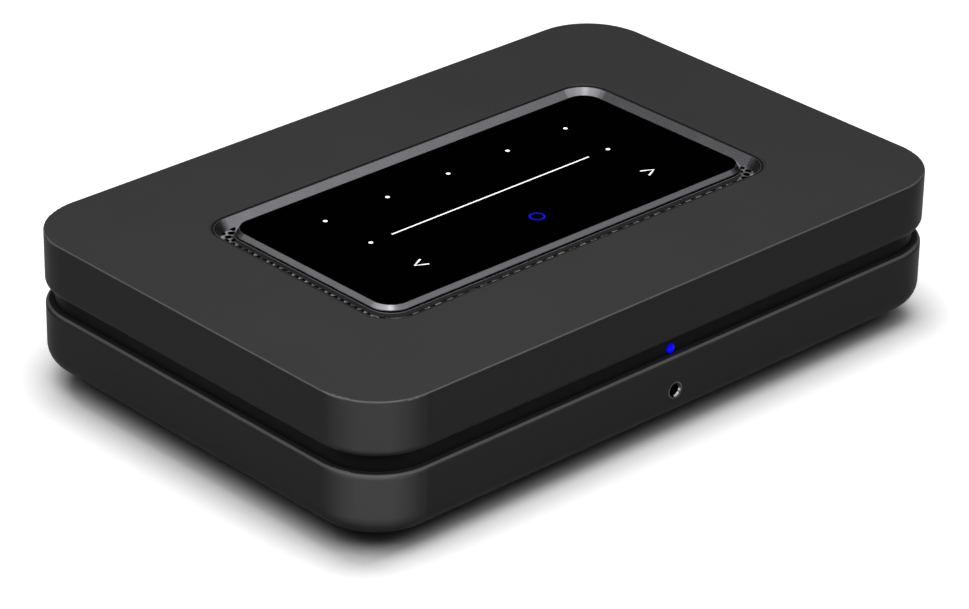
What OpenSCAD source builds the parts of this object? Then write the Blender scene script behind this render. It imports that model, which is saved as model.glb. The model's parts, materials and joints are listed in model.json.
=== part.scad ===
// Network music streamer: two stacked shells with a dark groove between them, a touch panel
// in a vented well on top and a row of sockets in a bay at the back.
// Millimetres. X runs along the front, the front faces -Y, Z is up and the part stands on Z = 0.

/* [Body] */
// Width of the body
body_w = 220; // [212:1:250]
// Depth of the body
body_d = 146; // [142:1:170]
// Radius of the upright corners
corner_r = 19.5; // [18:0.5:23]
// Height of the lower shell's underside above the table
stand_h = 5.5; // [3:0.1:8]
// Height of the lower shell
lower_h = 18.9; // [17.5:0.1:23]
// Height of the groove between the shells
groove_h = 5.1; // [4:0.1:8]
// Height of the upper shell
upper_h = 16.5; // [15.5:0.1:22]
// Thickness of the side walls
wall = 2.5; // [2:0.1:3]
// Thickness of the lower shell's floor
floor_t = 2.5; // [2:0.1:3.2]
// Thickness of the upper shell's roof
top_t = 3.2; // [2.8:0.1:4]
// Rounding of the top edge
top_edge_r = 0.6; // [0.3:0.1:1.2]
// Rounding of the upper shell's bottom edge
skirt_edge_r = 2.2; // [1:0.1:2.4]
// Rounding of the lower shell's top edge
ledge_edge_r = 1.2; // [0.6:0.1:2]
// Rounding of the bottom edge
base_edge_r = 6; // [3:0.1:6.5]
// Radius of a rubber foot
foot_r = 9; // [6:0.5:12]
// Distance of a foot's axis from the sides, front and back
foot_inset = 31; // [24:1:40]
// Depth of a foot's recess in the floor
foot_sink = 1; // [0.6:0.1:1.4]
// Width of one air slot in the floor
slot_w = 3; // [2:0.1:4]
// Length of an air slot
slot_len = 30; // [16:1:36]
// Spacing of the air slots
slot_pitch = 7; // [5:0.5:9]
// Number of air slots in each group
slot_count = 6; // [2:1:7]

/* [Band and case screws] */
// Thickness of the band behind the groove
band_t = 2; // [1.2:0.1:2.4]
// How far the band reaches up and down behind the shells
band_lap = 4.4; // [2:0.1:6]
// Radius of a case screw boss
boss_r = 4; // [3.6:0.1:4.4]
// Gap between a boss and the band
boss_gap = 1; // [0.5:0.1:2]
// Width of the ribs that hold the band
rib_w = 1.6; // [1.2:0.1:3]
// Distance of the front ribs from the middle
rib_x = 62; // [40:1:80]
// Distance of the side ribs from the middle
rib_y = 25; // [21:1:40]
// Depth of the case screw counterbores
case_sink = 6.5; // [4:0.1:10]
// Length of a case screw below its head
case_len = 24; // [18:0.5:25]

/* [Well in the top] */
// Width of the opening
opening_w = 146.8; // [136:0.2:156]
// Depth of the opening
opening_d = 76.8; // [68:0.2:84]
// Corner radius of the opening
opening_r = 9; // [6:0.1:12]
// Depth of the bezel ring's top below the roof
bezel_drop = 0.5; // [0.3:0.05:0.8]
// Width of the roof's slope down to the bezel ring
lip_w = 1.2; // [0.6:0.1:2]
// Gap between the bezel ring and the opening
bezel_gap = 0.15; // [0.1:0.05:0.6]
// Flat land on the bezel ring's top
bezel_land = 0.2; // [0.1:0.05:0.4]
// Width of the bezel ring's bevel
bezel_bevel = 1.9; // [1.2:0.05:2.2]
// Height of the upright foot below the bevel
bezel_foot = 0.2; // [0.1:0.05:0.4]
// Width of the bezel ring's hidden flange
flange_w = 2.6; // [1.5:0.1:3.4]
// Thickness of the flange
flange_t = 0.8; // [0.6:0.1:0.9]
// Width of the well's floor between the bevel and the touch panel
moat_w = 2.4; // [1.2:0.05:3]
// Thickness of the vent grille
grille_t = 0.8; // [0.6:0.1:1]
// Border of the vent grille beyond the opening
grille_lap = 5.9; // [4.8:0.1:8]
// Diameter of a grille hole
hole_d = 2; // [1.2:0.05:2.1]
// Spacing of grille holes along X within a row
hole_px = 4.1; // [3.8:0.05:5]
// Spacing of grille holes along Y within a row
hole_py = 2.63; // [2.5:0.01:3.4]
// Radius of the staked pins that hold the grille
stake_r = 1; // [0.8:0.1:1.2]
// Radius of a stake's head
stake_head_r = 1.8; // [1.4:0.1:2]
// Thickness of a stake's head
stake_head_t = 0.8; // [0.5:0.1:1.2]

/* [Touch panel] */
// Corner radius of the tray flange
panel_r = 7.4; // [5:0.1:10]
// Thickness of the tray flange
tray_flange_t = 1.55; // [1.2:0.05:1.8]
// Step of the tray flange past the frame
tray_step = 0.2; // [0.1:0.05:0.4]
// Height of the shadow gap under the frame
shadow_h = 0.35; // [0.2:0.05:0.5]
// Depth of the shadow gap
shadow_d = 0.55; // [0.3:0.05:0.7]
// Width and height of the frame's bevel
frame_bevel = 1.05; // [0.6:0.05:1.1]
// Flat land between the bevel and the glass
frame_land = 0.15; // [0.1:0.05:0.3]
// Depth of the tub below the grille's top
tub_depth = 2; // [1.8:0.1:4]
// Thickness of the tub's walls
tub_wall = 1.3; // [1:0.1:2]
// Thickness of the tub's floor
tub_floor_t = 1.2; // [0.8:0.1:1.4]
// Overlap of the tray flange on the grille
tray_lap = 5.2; // [4:0.1:7]
// Reach of the snap hooks under the grille
hook_reach = 0.9; // [0.5:0.1:1.2]
// Length of a snap hook
hook_len = 6; // [3:0.5:10]
// Thickness of a snap hook
hook_t = 0.8; // [0.5:0.1:1]
// Height of the ribs under the touch board
touch_rib_h = 0.6; // [0.4:0.1:0.8]
// Thickness of the touch board
touch_pcb_t = 1; // [0.6:0.1:1.2]
// Thickness of the light mask
mask_t = 0.5; // [0.3:0.05:0.5]
// Size of a touch light
touch_led = [1.6, 0.8, 0.5]; // [0.3:0.1:2]
// Depth of an icon inlay
icon_t = 0.2; // [0.1:0.05:0.5]
// Diameter of an icon dot
dot_d = 1.3; // [1:0.1:2.4]
// Spacing of the five dots
dot_pitch = 22.8; // [14:0.1:27]
// Distance of the dot row from the middle
dot_y = 18; // [10:0.5:24]
// Length of the slider line
slider_len = 74.8; // [40:0.2:84]
// Width of the slider line
slider_t = 0.5; // [0.4:0.05:1.2]
// Distance of the slider's end dots from the middle
slider_end = 45; // [44:0.5:58]
// Distance of the chevrons from the middle
chevron_x = 43.5; // [20:0.5:56]
// Size of a chevron
chevron = 3.6; // [2:0.1:5]
// Width of a chevron's stroke
chevron_t = 0.6; // [0.4:0.05:1]
// Distance of the chevrons and ring from the middle
low_y = 18; // [10:0.5:24]
// Outer diameter of the play ring
ring_d = 4.7; // [3:0.1:8]
// Width of the play ring's stroke
ring_t = 0.6; // [0.4:0.05:1.2]

/* [Front] */
// Height of the headphone socket's axis above the lower shell's underside
phone_z = 8.7; // [8:0.1:10]
// Bore of a 3.5 mm socket
mini_bore = 3.6; // [3.5:0.05:3.8]
// Depth of a 3.5 mm socket's bore
mini_depth = 14; // [12:0.5:15]
// Outer diameter of the headphone ferrule
ferrule_d = 5; // [4.6:0.1:6]
// Recess of the ferrule in the front
ferrule_sink = 0.2; // [0:0.05:0.6]
// Width of the ferrule's countersink
ferrule_lead = 0.5; // [0.2:0.05:0.6]
// Size of the headphone socket's body
phone_body = [8.4, 14, 6]; // [5:0.1:16]
// Distance of the headphone socket's body from the front
phone_back = 6.5; // [5:0.1:8]
// Diameter of the status light pipe
pipe_d = 2.6; // [2:0.1:3.4]
// How far the light pipe stands out of the band
pipe_out = 0.3; // [0:0.05:0.8]
// Height of the status light above the groove's floor
pipe_rise = 1.6; // [1.2:0.1:3.4]
// Distance of the light pipe's upright from the front
pipe_back = 23.5; // [22.5:0.1:26]
// Size of the status light emitter
status_size = [3, 3, 1.2]; // [0.8:0.1:4]
// Size of the front board
front_pcb = [44, 22]; // [18:0.5:60]
// Distance of the front board from the front
front_back = 5; // [4.8:0.1:8]
// Reach of the front board to the left of the middle
front_left = 13; // [12:0.5:16]
// Size of the infrared receiver's body
ir_size = [6, 4.5, 7]; // [3:0.1:9]
// Distance of the infrared receiver from the middle
ir_x = 12; // [9:0.5:18]
// Distance of the infrared receiver from the front
ir_back = 9; // [8:0.1:12]
// Width of an infrared receiver's lead
ir_lead = 0.5; // [0.3:0.05:0.8]
// Spacing of the infrared receiver's leads
ir_pitch = 2; // [1.2:0.1:2.4]

/* [Rear bay] */
// Distance from the body's side to the inside of the bay
bay_inset = 22; // [20:0.5:24]
// Depth of the bay
bay_depth = 9; // [7:0.1:12]
// Height of the bay
bay_h = 22; // [20:0.5:24]
// Drop of the bay's floor below the main board
bay_drop = 2.4; // [1.2:0.1:2.6]
// Thickness of the bay's walls
bay_wall = 1.6; // [1.2:0.1:2]
// Thickness of the rear panel
panel_t = 2; // [1.5:0.1:3]
// Corner radius inside the bay
bay_r = 4; // [2:0.1:6]
// Setback of the bay's rim from the back
rim_sink = 0.5; // [0.3:0.1:1]

/* [Rear sockets] */
// Place along the row for a phono socket
phono_w = 11; // [10.5:0.1:12]
// Place for an optical socket
optical_w = 12; // [11.6:0.1:13]
// Place for a 3.5 mm socket
mini_w = 8; // [7:0.1:9]
// Place for an HDMI socket
hdmi_w = 15.4; // [15.2:0.1:17]
// Place for a USB socket
usb_w = 14; // [13.6:0.1:15]
// Place for a network socket
lan_w = 16.4; // [15.6:0.1:18]
// Place for the mains inlet
inlet_w = 22; // [20:0.1:23]
// Height of the phono and mains axes above the main board
axis_h = 7; // [6.2:0.1:8]
// Outer diameter of a phono barrel
barrel_d = 8.3; // [8:0.05:8.6]
// Wall of a phono barrel
barrel_t = 0.8; // [0.5:0.05:1.2]
// Step of a phono barrel's neck in its block
barrel_neck = 0.3; // [0.2:0.05:0.4]
// Length of a phono barrel in its block
barrel_seat = 5; // [3:0.1:7]
// Bore of a phono insert
phono_bore = 3.2; // [3:0.05:3.6]
// Depth of a phono insert's bore
phono_depth = 10; // [8:0.1:13]
// Height of a phono block
block_h = 13; // [12.4:0.1:16]
// Depth of a phono block
block_d = 15; // [12:0.1:18]
// Height of the rear panel screws above the phono axis
block_screw_z = 3.6; // [3:0.1:4]
// Height of a 3.5 mm socket's body
mini_h = 7.4; // [6.4:0.1:9]
// Diameter of a 3.5 mm socket's neck
neck_d = 5.8; // [5:0.1:6.2]
// How far the sockets stand out of the rear panel
socket_out = 0.4; // [0.2:0.1:1]
// Size of the HDMI opening
hdmi_open = [14, 4.6]; // [4:0.1:15]
// Chamfer of the HDMI opening's lower corners
hdmi_chamfer = 1.6; // [1:0.1:2]
// Size of the USB opening
usb_open = [12.5, 5.1]; // [4:0.1:14]
// Sheet thickness of the metal sockets
sheet_t = 0.5; // [0.3:0.05:0.6]
// Depth of the HDMI and USB openings
data_depth = 10; // [8:0.1:12]
// Depth of the HDMI and USB bodies
data_d = 13; // [12.6:0.1:16]
// Thickness of the tongue in a HDMI or USB socket
tongue_t = 1.8; // [1:0.1:2.2]
// Size of the network socket's body
lan_size = [16, 21, 13.4]; // [10:0.1:24]
// Size of the network socket's opening
lan_open = [11.8, 6.8]; // [5:0.1:13]
// Size of the latch slot above the opening
lan_latch = [6.2, 2.4]; // [1:0.1:8]
// Depth of the network socket's opening
lan_depth = 13; // [10:0.1:16]
// Size of the mains inlet's opening
inlet_open = [14.2, 7.8]; // [6:0.1:16]
// Rim of the mains inlet's body
inlet_rim = 1.4; // [1:0.1:2]
// Width of the mains inlet's flange
inlet_flange = 1.8; // [1:0.1:2.4]
// Thickness of the flange
inlet_flange_t = 1.6; // [1:0.1:2.4]
// Depth of the mains inlet's opening
inlet_depth = 12.5; // [10:0.1:14]
// Depth of the mains inlet's back wall
inlet_back = 2.5; // [1.5:0.1:4]
// Diameter of a mains pin
pin_d = 2.4; // [2.2:0.05:2.6]
// Spacing of the mains pins
pin_pitch = 8.6; // [8:0.05:9]
// Length of a mains pin in the opening
pin_len = 10; // [8:0.1:12]
// Length of a mains pin behind the inlet
pin_tail = 4; // [2:0.1:6]

/* [Optical socket] */
// Width and height of the mouth
mouth = 8.6; // [8.2:0.1:9]
// Side wall of the socket
opt_wall = 1.5; // [1.3:0.05:1.8]
// Thickness of the socket's floor and roof
opt_floor = 0.9; // [0.7:0.05:1.2]
// Thickness of the lip round the mouth
lip_t = 0.9; // [0.6:0.05:1.2]
// Depth of the lip's frame below and above the mouth
lip_h = 0.3; // [0.2:0.05:0.6]
// Height of the room for the shutter's hinge above the mouth
hinge_room = 2.2; // [2.1:0.05:2.8]
// Height of the shutter's hinge above the mouth
hinge_rise = 1; // [0.9:0.05:1.2]
// Thickness of the shutter
flap_t = 0.9; // [0.6:0.05:1]
// Diameter of the shutter's pin
flap_pin = 1; // [0.8:0.05:1.2]
// Length of the shutter's pin in the wall
flap_pin_len = 0.9; // [0.6:0.05:1]
// Clearance of the shutter's sides and lower edge
flap_side = 0.3; // [0.3:0.05:0.5]
// Running clearance of the shutter's pin
flap_run = 0.05; // [0.03:0.01:0.08]
// Gap between the shutter and the lip
flap_gap = 0.6; // [0.6:0.05:0.9]
// Depth of the room behind the lip
opt_depth = 11.4; // [11:0.1:13]
// Thickness of the socket's back wall
opt_back = 2; // [1.4:0.1:4]
// Width of the gap in the shutter for its spring
spring_room = 3.4; // [3.2:0.1:4]
// Thickness of the spring wire
spring_wire = 0.3; // [0.2:0.02:0.34]
// Mean radius of the spring
spring_r = 0.85; // [0.8:0.01:0.9]
// Turns of the spring
spring_turns = 3; // [2:1:3]
// Pitch of the spring's turns
spring_pitch = 0.8; // [0.76:0.02:0.9]
// Length of the spring's leg on the shutter
spring_leg = 3; // [2:0.1:6]

/* [Boards] */
// Height of the board posts
post_h = 5; // [4.6:0.1:6]
// Radius of a board post
post_r = 3.2; // [2.8:0.1:3.6]
// Thickness of the boards
pcb_t = 1.6; // [1.2:0.1:2]
// Gap between the main board and the rear panel
board_gap = 1.5; // [0.5:0.1:3]
// Gap between the main board and the front board
front_gap = 6.5; // [5:0.1:12]
// Gap between the power board and the main board along X
side_gap = 8; // [3:0.1:14]
// Gap between the power board and the main board along Y
wing_gap = 12.5; // [3:0.1:16]
// Gap between parts on a board
part_gap = 2; // [1:0.1:2.2]
// Distance of a part from the edge of its board
part_edge = 2; // [1:0.1:3]
// Place of a board screw from the board's edges
screw_edge = 5; // [4.2:0.1:6]
// Place of the main board's rear screws from its back edge
screw_back = 24.5; // [22:0.5:26]
// Width and depth of the power board
power_pcb = [64, 58]; // [56:0.5:66]
// Place of the power board from the body's left side and front
power_inset = [20, 17]; // [15:0.5:22]
// Thickness of a flat cable
flex_t = 0.3; // [0.15:0.05:0.4]
// Width of a flat cable
flex_w = 9; // [6:0.5:9.4]
// Size of a flat cable's bends
flex_bend = 2; // [1:0.1:3]
// Size of a flat cable's connector
flex_socket = [10, 3.5, 2]; // [1.4:0.1:12]
// Place of the touch cable along X and Y
touch_flex_at = [-8, 19.6]; // [-20:0.2:24]
// Sideways bow of the touch cable
touch_bow = 5; // [2:0.5:8]
// Place of the front cable along X
front_flex_x = 8.5; // [7:0.1:9]

/* [Main board parts] */
// Size of the processor
cpu_size = [18, 18, 1.6]; // [1:0.1:24]
// Thickness of the thermal pad
thermal_t = 1; // [0.5:0.1:1.5]
// Width and depth of the heat sink
sink_w = 46; // [40:0.5:46]
// Thickness of the heat sink's base
sink_base = 3; // [2:0.1:4]
// Height of the heat sink's fins
fin_h = 10; // [6:0.5:13]
// Thickness of a fin
fin_t = 1.4; // [1:0.1:2]
// Number of fins
fin_count = 9; // [5:1:11]
// Radius of a heat sink pin
push_r = 1.5; // [1.2:0.1:1.8]
// Place of a heat sink pin from the sink's corner
push_inset = 3.4; // [3.2:0.1:4]
// Head of a heat sink pin, radius and thickness
push_head = [2.6, 1.6]; // [1:0.1:3]
// Barb of a heat sink pin, radius and thickness
push_barb = [2, 1.4]; // [1:0.1:2.4]
// Size of the wireless module
radio_size = [16, 20, 2.6]; // [2:0.1:22]
// Connector on the wireless module, radius and height
coax_size = [1.3, 1.2]; // [0.8:0.1:1.6]
// Spacing of the two connectors
coax_pitch = 8; // [5:0.1:10]
// Size of an antenna
antenna_size = [0.4, 36, 8]; // [0.2:0.1:38]
// Diameter of an antenna lead
coax_d = 1.2; // [0.8:0.1:1.4]
// Size of a memory chip
memory_size = [12, 9, 1.2]; // [0.8:0.1:13]
// Size of the converter chip
dac_size = [9, 9, 1.2]; // [0.8:0.1:10]
// Size of an amplifier chip
opamp_size = [5, 4, 1.6]; // [1:0.1:6]
// Size of the network chip
phy_size = [7, 7, 1]; // [0.8:0.1:8]
// Radius and height of an audio capacitor
audio_cap = [3.2, 8]; // [2:0.1:11]
// Size of a coil
coil_size = [7, 7, 4]; // [2:0.1:8]
// Size of the harness headers
header_size = [8, 14, 8]; // [5:0.1:15]

/* [Power parts] */
// Size of the mains header
mains_size = [10, 8, 9]; // [6:0.1:10.4]
// Radius and length of the fuse
fuse_size = [2.6, 20]; // [2:0.1:22]
// Width of a fuse clip
clip_w = 3; // [2:0.1:5]
// Height of the fuse's axis above its board
fuse_rise = 4; // [3:0.1:6]
// Size of the filter capacitor
xcap_size = [18, 8, 14]; // [6:0.1:20]
// Size of the choke
choke_size = [18, 15, 16]; // [8:0.1:20]
// Radius and height of the bulk capacitor
bulk_cap = [8, 20]; // [6:0.1:22]
// Size of the transformer's core
core_size = [22, 14, 20]; // [10:0.1:23]
// Size of the transformer's winding
winding_size = [16, 20, 15]; // [10:0.1:22]
// Size of the power heat sink
plate_size = [2.5, 22, 20]; // [2:0.1:24]
// Size of the power transistor
transistor_size = [4.5, 10, 15]; // [3:0.1:17]
// Radius and height of an output capacitor
out_cap = [4, 14]; // [3:0.1:18]
// Diameter of a harness wire
wire_d = 1.4; // [1:0.1:1.8]
// Spacing of the harness wires
wire_pitch = 3; // [2.4:0.1:3.4]
// Height of the harness above its headers
wire_rise = 6; // [3:0.5:10]
// Diameter of a mains lead
lead_d = 2.2; // [1.8:0.1:2.6]

/* [Fasteners and clearances] */
// Case screw: shank radius, head radius, head height
case_screw = [1.45, 2.8, 2.4]; // [1:0.05:3.2]
// Board screw: shank radius, head radius, head height
board_screw = [1.2, 2.7, 2]; // [1:0.05:3]
// Rear panel screw: shank radius, head radius, head height
panel_screw = [1.2, 2.3, 1.6]; // [1:0.05:2.6]
// Length of a board screw below its head
board_screw_len = 5; // [4:0.1:6]
// Length of a rear panel screw below its head
panel_screw_len = 8; // [6:0.1:10]
// Width of a screw's socket against its shank
socket_ratio = 0.9; // [0.7:0.05:1]
// Clearance of a screw or pin in its hole
screw_fit = 0.05; // [0.02:0.01:0.1]
// Clearance of a screw in a hole that it passes through
pass_fit = 0.25; // [0.1:0.05:0.4]
// Clearance between fitted pieces
fit = 0.1; // [0.05:0.01:0.15]
// Clearance round the bay and the sockets
bay_fit = 0.25; // [0.15:0.05:0.4]

/* [Hidden] */
$fn = 48;
past = 1;
sink_in = 0.5;

// Levels of the case
z_base = stand_h;
z_floor = z_base + floor_t;
z_low = z_base + lower_h;
z_up = z_low + groove_h;
z_top = z_up + upper_h;
z_ceil = z_top - top_t;
z_meet = (z_low + z_up) / 2;
y_front = -body_d / 2;
y_rear = body_d / 2;

// Band and bosses
band_inset = wall + fit;
band_in = band_inset + band_t;
band_z0 = z_low - band_lap;
band_z1 = z_up + band_lap;
boss_out = (corner_r - band_in - boss_gap - boss_r) / sqrt(2);
boss_x = body_w / 2 - corner_r + boss_out;
boss_y = body_d / 2 - corner_r + boss_out;
case_hole_r = case_screw[0] + pass_fit;
z_case_head = z_base + case_sink;
foot_x = body_w / 2 - foot_inset;
foot_y = body_d / 2 - foot_inset;

// Well and touch panel
z_bezel = z_top - bezel_drop;
z_well = z_ceil;
bezel_w = opening_w - 2 * bezel_gap;
bezel_d = opening_d - 2 * bezel_gap;
bezel_r = opening_r - bezel_gap;
well_in = bezel_land + bezel_bevel;
grille_z0 = z_well - grille_t;
panel_in = bezel_gap + well_in + moat_w;
panel_w = opening_w - 2 * panel_in;
panel_d = opening_d - 2 * panel_in;
tub_w = panel_w - 2 * tray_lap;
tub_d = panel_d - 2 * tray_lap;
tub_r = panel_r - tray_lap;
z_tub = z_well - tub_depth;
z_tub_floor = z_tub + tub_floor_t;
z_flange = z_well + tray_flange_t;
z_seat = z_flange + shadow_h;
frame_w = panel_w - 2 * tray_step;
frame_d = panel_d - 2 * tray_step;
frame_r = panel_r - tray_step;
glass_in = frame_bevel + frame_land;
glass_w = frame_w - 2 * glass_in - 2 * fit;
glass_d = frame_d - 2 * glass_in - 2 * fit;
glass_r = frame_r - glass_in - fit;
pocket_w = tub_w - 2 * tub_wall;
pocket_d = tub_d - 2 * tub_wall;
pocket_r = tub_r - tub_wall;
z_touch = z_tub_floor + touch_rib_h;
z_touch_top = z_touch + touch_pcb_t;
z_mask = z_touch_top + touch_led[2];
stake_x = opening_w / 2 + flange_w + stake_r + fit;
stake_y = opening_d / 2 + flange_w + stake_r + fit;
stake_row = opening_w / 3;
stake_col = opening_d / 3;
hook_z = grille_z0 - hook_t;

// Boards
z_board = z_floor + post_h;
z_parts = z_board + pcb_t;
z_front_parts = z_base + phone_z - phone_body[2] / 2;
z_front_board = z_front_parts - pcb_t;
front_y0 = y_front + front_back;
front_y1 = front_y0 + front_pcb[1];
front_x0 = -front_left;
front_x1 = front_x0 + front_pcb[0];
power_x0 = -body_w / 2 + power_inset[0];
power_x1 = power_x0 + power_pcb[0];
power_y0 = y_front + power_inset[1];
power_y1 = power_y0 + power_pcb[1];
pilot_r = board_screw[0] + screw_fit;

// Rear bay and the row of sockets, counted from +X
bay_w = body_w - 2 * bay_inset;
y_plate = y_rear - bay_depth;
y_back = y_plate - panel_t;
y_out = y_plate + socket_out;
bay_z0 = z_parts - bay_drop;
bay_z1 = bay_z0 + bay_h;
PLACES = [
    phono_w, phono_w, phono_w, phono_w, optical_w, mini_w, hdmi_w, usb_w, lan_w, mini_w, mini_w,
    inlet_w
];
function total(v, n) = n == 0 ? 0 : v[n - 1] + total(v, n - 1);
row_gap = (bay_w - total(PLACES, len(PLACES))) / (len(PLACES) + 1);
function row_x(i) = bay_w / 2 - (i + 1) * row_gap - total(PLACES, i) - PLACES[i] / 2;
MINIS = [5, 9, 10];
z_axis = z_parts + axis_h;
z_mini = z_parts + mini_h / 2;
block_y0 = y_back - fit - block_d;
barrel_y0 = y_back - barrel_seat;
barrel_y1 = y_rear - rim_sink;
barrel_in = barrel_d / 2 - barrel_t;

// Main board outline and screws
main_y1 = y_back - board_gap;
main_y0 = front_y1 + front_gap;
main_mid = power_y1 + wing_gap;
main_left = power_x1 + side_gap;
main_x0 = row_x(10) - mini_w / 2 - 2;
main_x1 = bay_w / 2 + bay_wall;
MAIN_SCREWS = [
    [main_x0 + screw_edge, main_y1 - screw_back],
    [main_x1 - screw_edge, main_y1 - screw_back],
    [main_x1 - screw_edge, main_y0 + screw_edge],
    [main_left + screw_edge, main_y0 + screw_edge],
    [touch_flex_at[0] + flex_socket[0] / 2 + 13, touch_flex_at[1]]
];
POWER_SCREWS = [
    for (x = [power_x0 + screw_edge, power_x1 - screw_edge])
        for (y = [power_y0 + screw_edge, power_y1 - screw_edge]) [x, y]
];
FRONT_SCREWS = [for (x = [front_x0 + screw_edge, front_x1 - screw_edge]) [x, front_y1 - screw_edge]];
past_screw = screw_edge + board_screw[1] + part_gap;

// Main board parts
chip_y = block_y0 - 2 * part_gap - dac_size[1] / 2;
cap_y = chip_y - dac_size[1] / 2 - part_gap - audio_cap[0];
radio_at = [main_x1 - part_edge - radio_size[0] / 2, main_y0 + past_screw + radio_size[1] / 2];
cpu_at = [
    radio_at[0] - radio_size[0] / 2 - part_gap - sink_w / 2,
    cap_y - audio_cap[0] - part_gap - sink_w / 2
];
z_thermal = z_parts + cpu_size[2];
z_sink = z_thermal + thermal_t;
z_fins = z_sink + sink_base;
PUSH = [for (s = [-1, 1]) cpu_at + s * (sink_w / 2 - push_inset) * [1, -1]];
z_radio = z_parts + radio_size[2];
coax_y = radio_at[1] + radio_size[1] / 2 - coax_size[0] - 1;
power_header = [
    power_x1 - part_edge - header_size[0] / 2,
    power_y0 + past_screw + 2 * (2 * out_cap[0] + part_gap) + header_size[1] / 2
];
main_header = [main_left + part_edge + header_size[0] / 2, power_header[1]];
memory_x = main_header[0] + header_size[0] / 2 + part_gap + memory_size[0] / 2;
memory_y = (memory_size[1] + part_gap) / 2;
CHIP_ROWS = [
    [memory_size, [memory_x, main_header[1] + memory_y]],
    [memory_size, [memory_x, main_header[1] - memory_y]],
    [dac_size, [(row_x(1) + row_x(2)) / 2, chip_y]],
    [opamp_size, [(row_x(0) + row_x(1)) / 2, chip_y]],
    [opamp_size, [(row_x(2) + row_x(3)) / 2, chip_y]],
    [phy_size, [row_x(7), y_out - data_d - part_gap - phy_size[1] / 2]]
];
CAPS = [for (i = [0:3]) [row_x(i), cap_y]];
COILS = [
    for (i = [0:2])
        [main_x0 + past_screw + coil_size[0] / 2 + i * (coil_size[0] + 2 * part_gap),
            main_mid + part_edge + coil_size[1] / 2]
];

// Optical socket
opt_x = row_x(4);
opt_z0 = z_parts + opt_floor;
mouth_z0 = opt_z0 + lip_h;
mouth_z1 = mouth_z0 + mouth;
opt_z1 = mouth_z1 + hinge_room;
opt_y1 = y_out;
opt_room_y1 = opt_y1 - lip_t;
opt_room_y0 = opt_room_y1 - opt_depth;
opt_room_w = optical_w - 2 * opt_wall;
flap_w = opt_room_w - 2 * flap_side;
hinge_y = opt_room_y1 - flap_gap - flap_t / 2;
hinge_z = mouth_z1 + hinge_rise;
flap_z0 = opt_z0 + flap_side;

// Status light
z_pipe = z_low + pipe_rise;
pipe_y = y_front + pipe_back;
z_status = z_front_parts + status_size[2];

// Rounded shapes
module round_rect(w, d, r) {
    square([w - 2 * r, d], center = true);
    square([w, d - 2 * r], center = true);
    for (sx = [-1, 1]) {
        for (sy = [-1, 1]) {
            translate([sx * (w / 2 - r), sy * (d / 2 - r)]) circle(r);
        }
    }
}

// A slot outline with round ends along X
module round_slot(len, w) {
    square([len - w, w], center = true);
    for (s = [-1, 1]) {
        translate([s * (len - w) / 2, 0]) circle(d = w);
    }
}

module slab(w, d, r, z0, z1) {
    translate([0, 0, z0]) linear_extrude(z1 - z0) round_rect(w, d, r);
}

// A rounded block whose edge follows the child, a profile drawn outwards from the corner axis
module edged_block(w, d, r, z0, z1) {
    cx = w / 2 - r;
    cy = d / 2 - r;
    for (q = [0:3]) {
        sx = q == 0 || q == 3 ? 1 : -1;
        sy = q < 2 ? 1 : -1;
        translate([sx * cx, sy * cy, 0]) rotate([0, 0, 90 * q]) rotate_extrude(angle = 90) children();
    }
    for (s = [-1, 1]) {
        translate([0, s * cy, 0]) rotate([90, 0, s * 90]) linear_extrude(2 * cx, center = true) children();
        translate([s * cx, 0, 0]) rotate([90, 0, s > 0 ? 0 : 180])
            linear_extrude(2 * cy, center = true) children();
    }
    translate([-cx, -cy, z0]) cube([2 * cx, 2 * cy, z1 - z0]);
}

module round_edge(r, z0, z1, rb, rt) {
    inner = r - max(rb, rt);
    translate([0, z0]) square([inner, z1 - z0]);
    translate([0, z0 + rb]) square([r, z1 - z0 - rb - rt]);
    translate([0, z0]) square([r - rb, rb]);
    translate([0, z1 - rt]) square([r - rt, rt]);
    translate([r - rb, z0 + rb]) circle(rb);
    translate([r - rt, z1 - rt]) circle(rt);
}

module soft_block(w, d, r, z0, z1, rb, rt) {
    edged_block(w, d, r, z0, z1) round_edge(r, z0, z1, rb, rt);
}

// A rounded block whose outline grows by the given width between its two levels
module flared_block(w, d, r, z0, z1, grow) {
    edged_block(w, d, r, z0, z1) polygon([[0, z0], [r, z0], [r + grow, z1], [0, z1]]);
}

module rod_y(x, y0, y1, z, r) {
    translate([x, y0, z]) rotate([-90, 0, 0]) cylinder(r = r, h = y1 - y0);
}

module stand(at, z, size) {
    translate([at[0] - size[0] / 2, at[1] - size[1] / 2, z]) cube(size);
}

module can(at, z, size) {
    translate([at[0], at[1], z]) cylinder(r = size[0], h = size[1]);
}

// A screw along +Z with the seat of its head at the origin and its shank going down
module screw(size, len) {
    translate([0, 0, -len]) cylinder(r = size[0], h = len + sink_in);
    difference() {
        cylinder(r = size[1], h = size[2]);
        translate([0, 0, size[2] / 2]) cylinder(r = size[0] * socket_ratio, h = size[2], $fn = 6);
    }
}

// Tubes along points, with corners cut twice
function unit(v) = v / norm(v);
function cut_corners(p) = [
    p[0],
    for (i = [0:len(p) - 2]) each [
        if (i > 0) 0.75 * p[i] + 0.25 * p[i + 1],
        if (i < len(p) - 2) 0.25 * p[i] + 0.75 * p[i + 1]
    ],
    p[len(p) - 1]
];
function heading(p, i) =
    i == 0 ? unit(p[1] - p[0])
    : i == len(p) - 1 ? unit(p[i] - p[i - 1])
    : unit(unit(p[i] - p[i - 1]) + unit(p[i + 1] - p[i]));
function side_of(t) = unit(cross(t, abs(t[2]) < 0.8 ? [0, 0, 1] : [1, 0, 0]));
function carry(n, t) = unit(n - (n * t) * t);
function sides(p, i) = i == 0 ? side_of(heading(p, 0)) : carry(sides(p, i - 1), heading(p, i));

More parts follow.
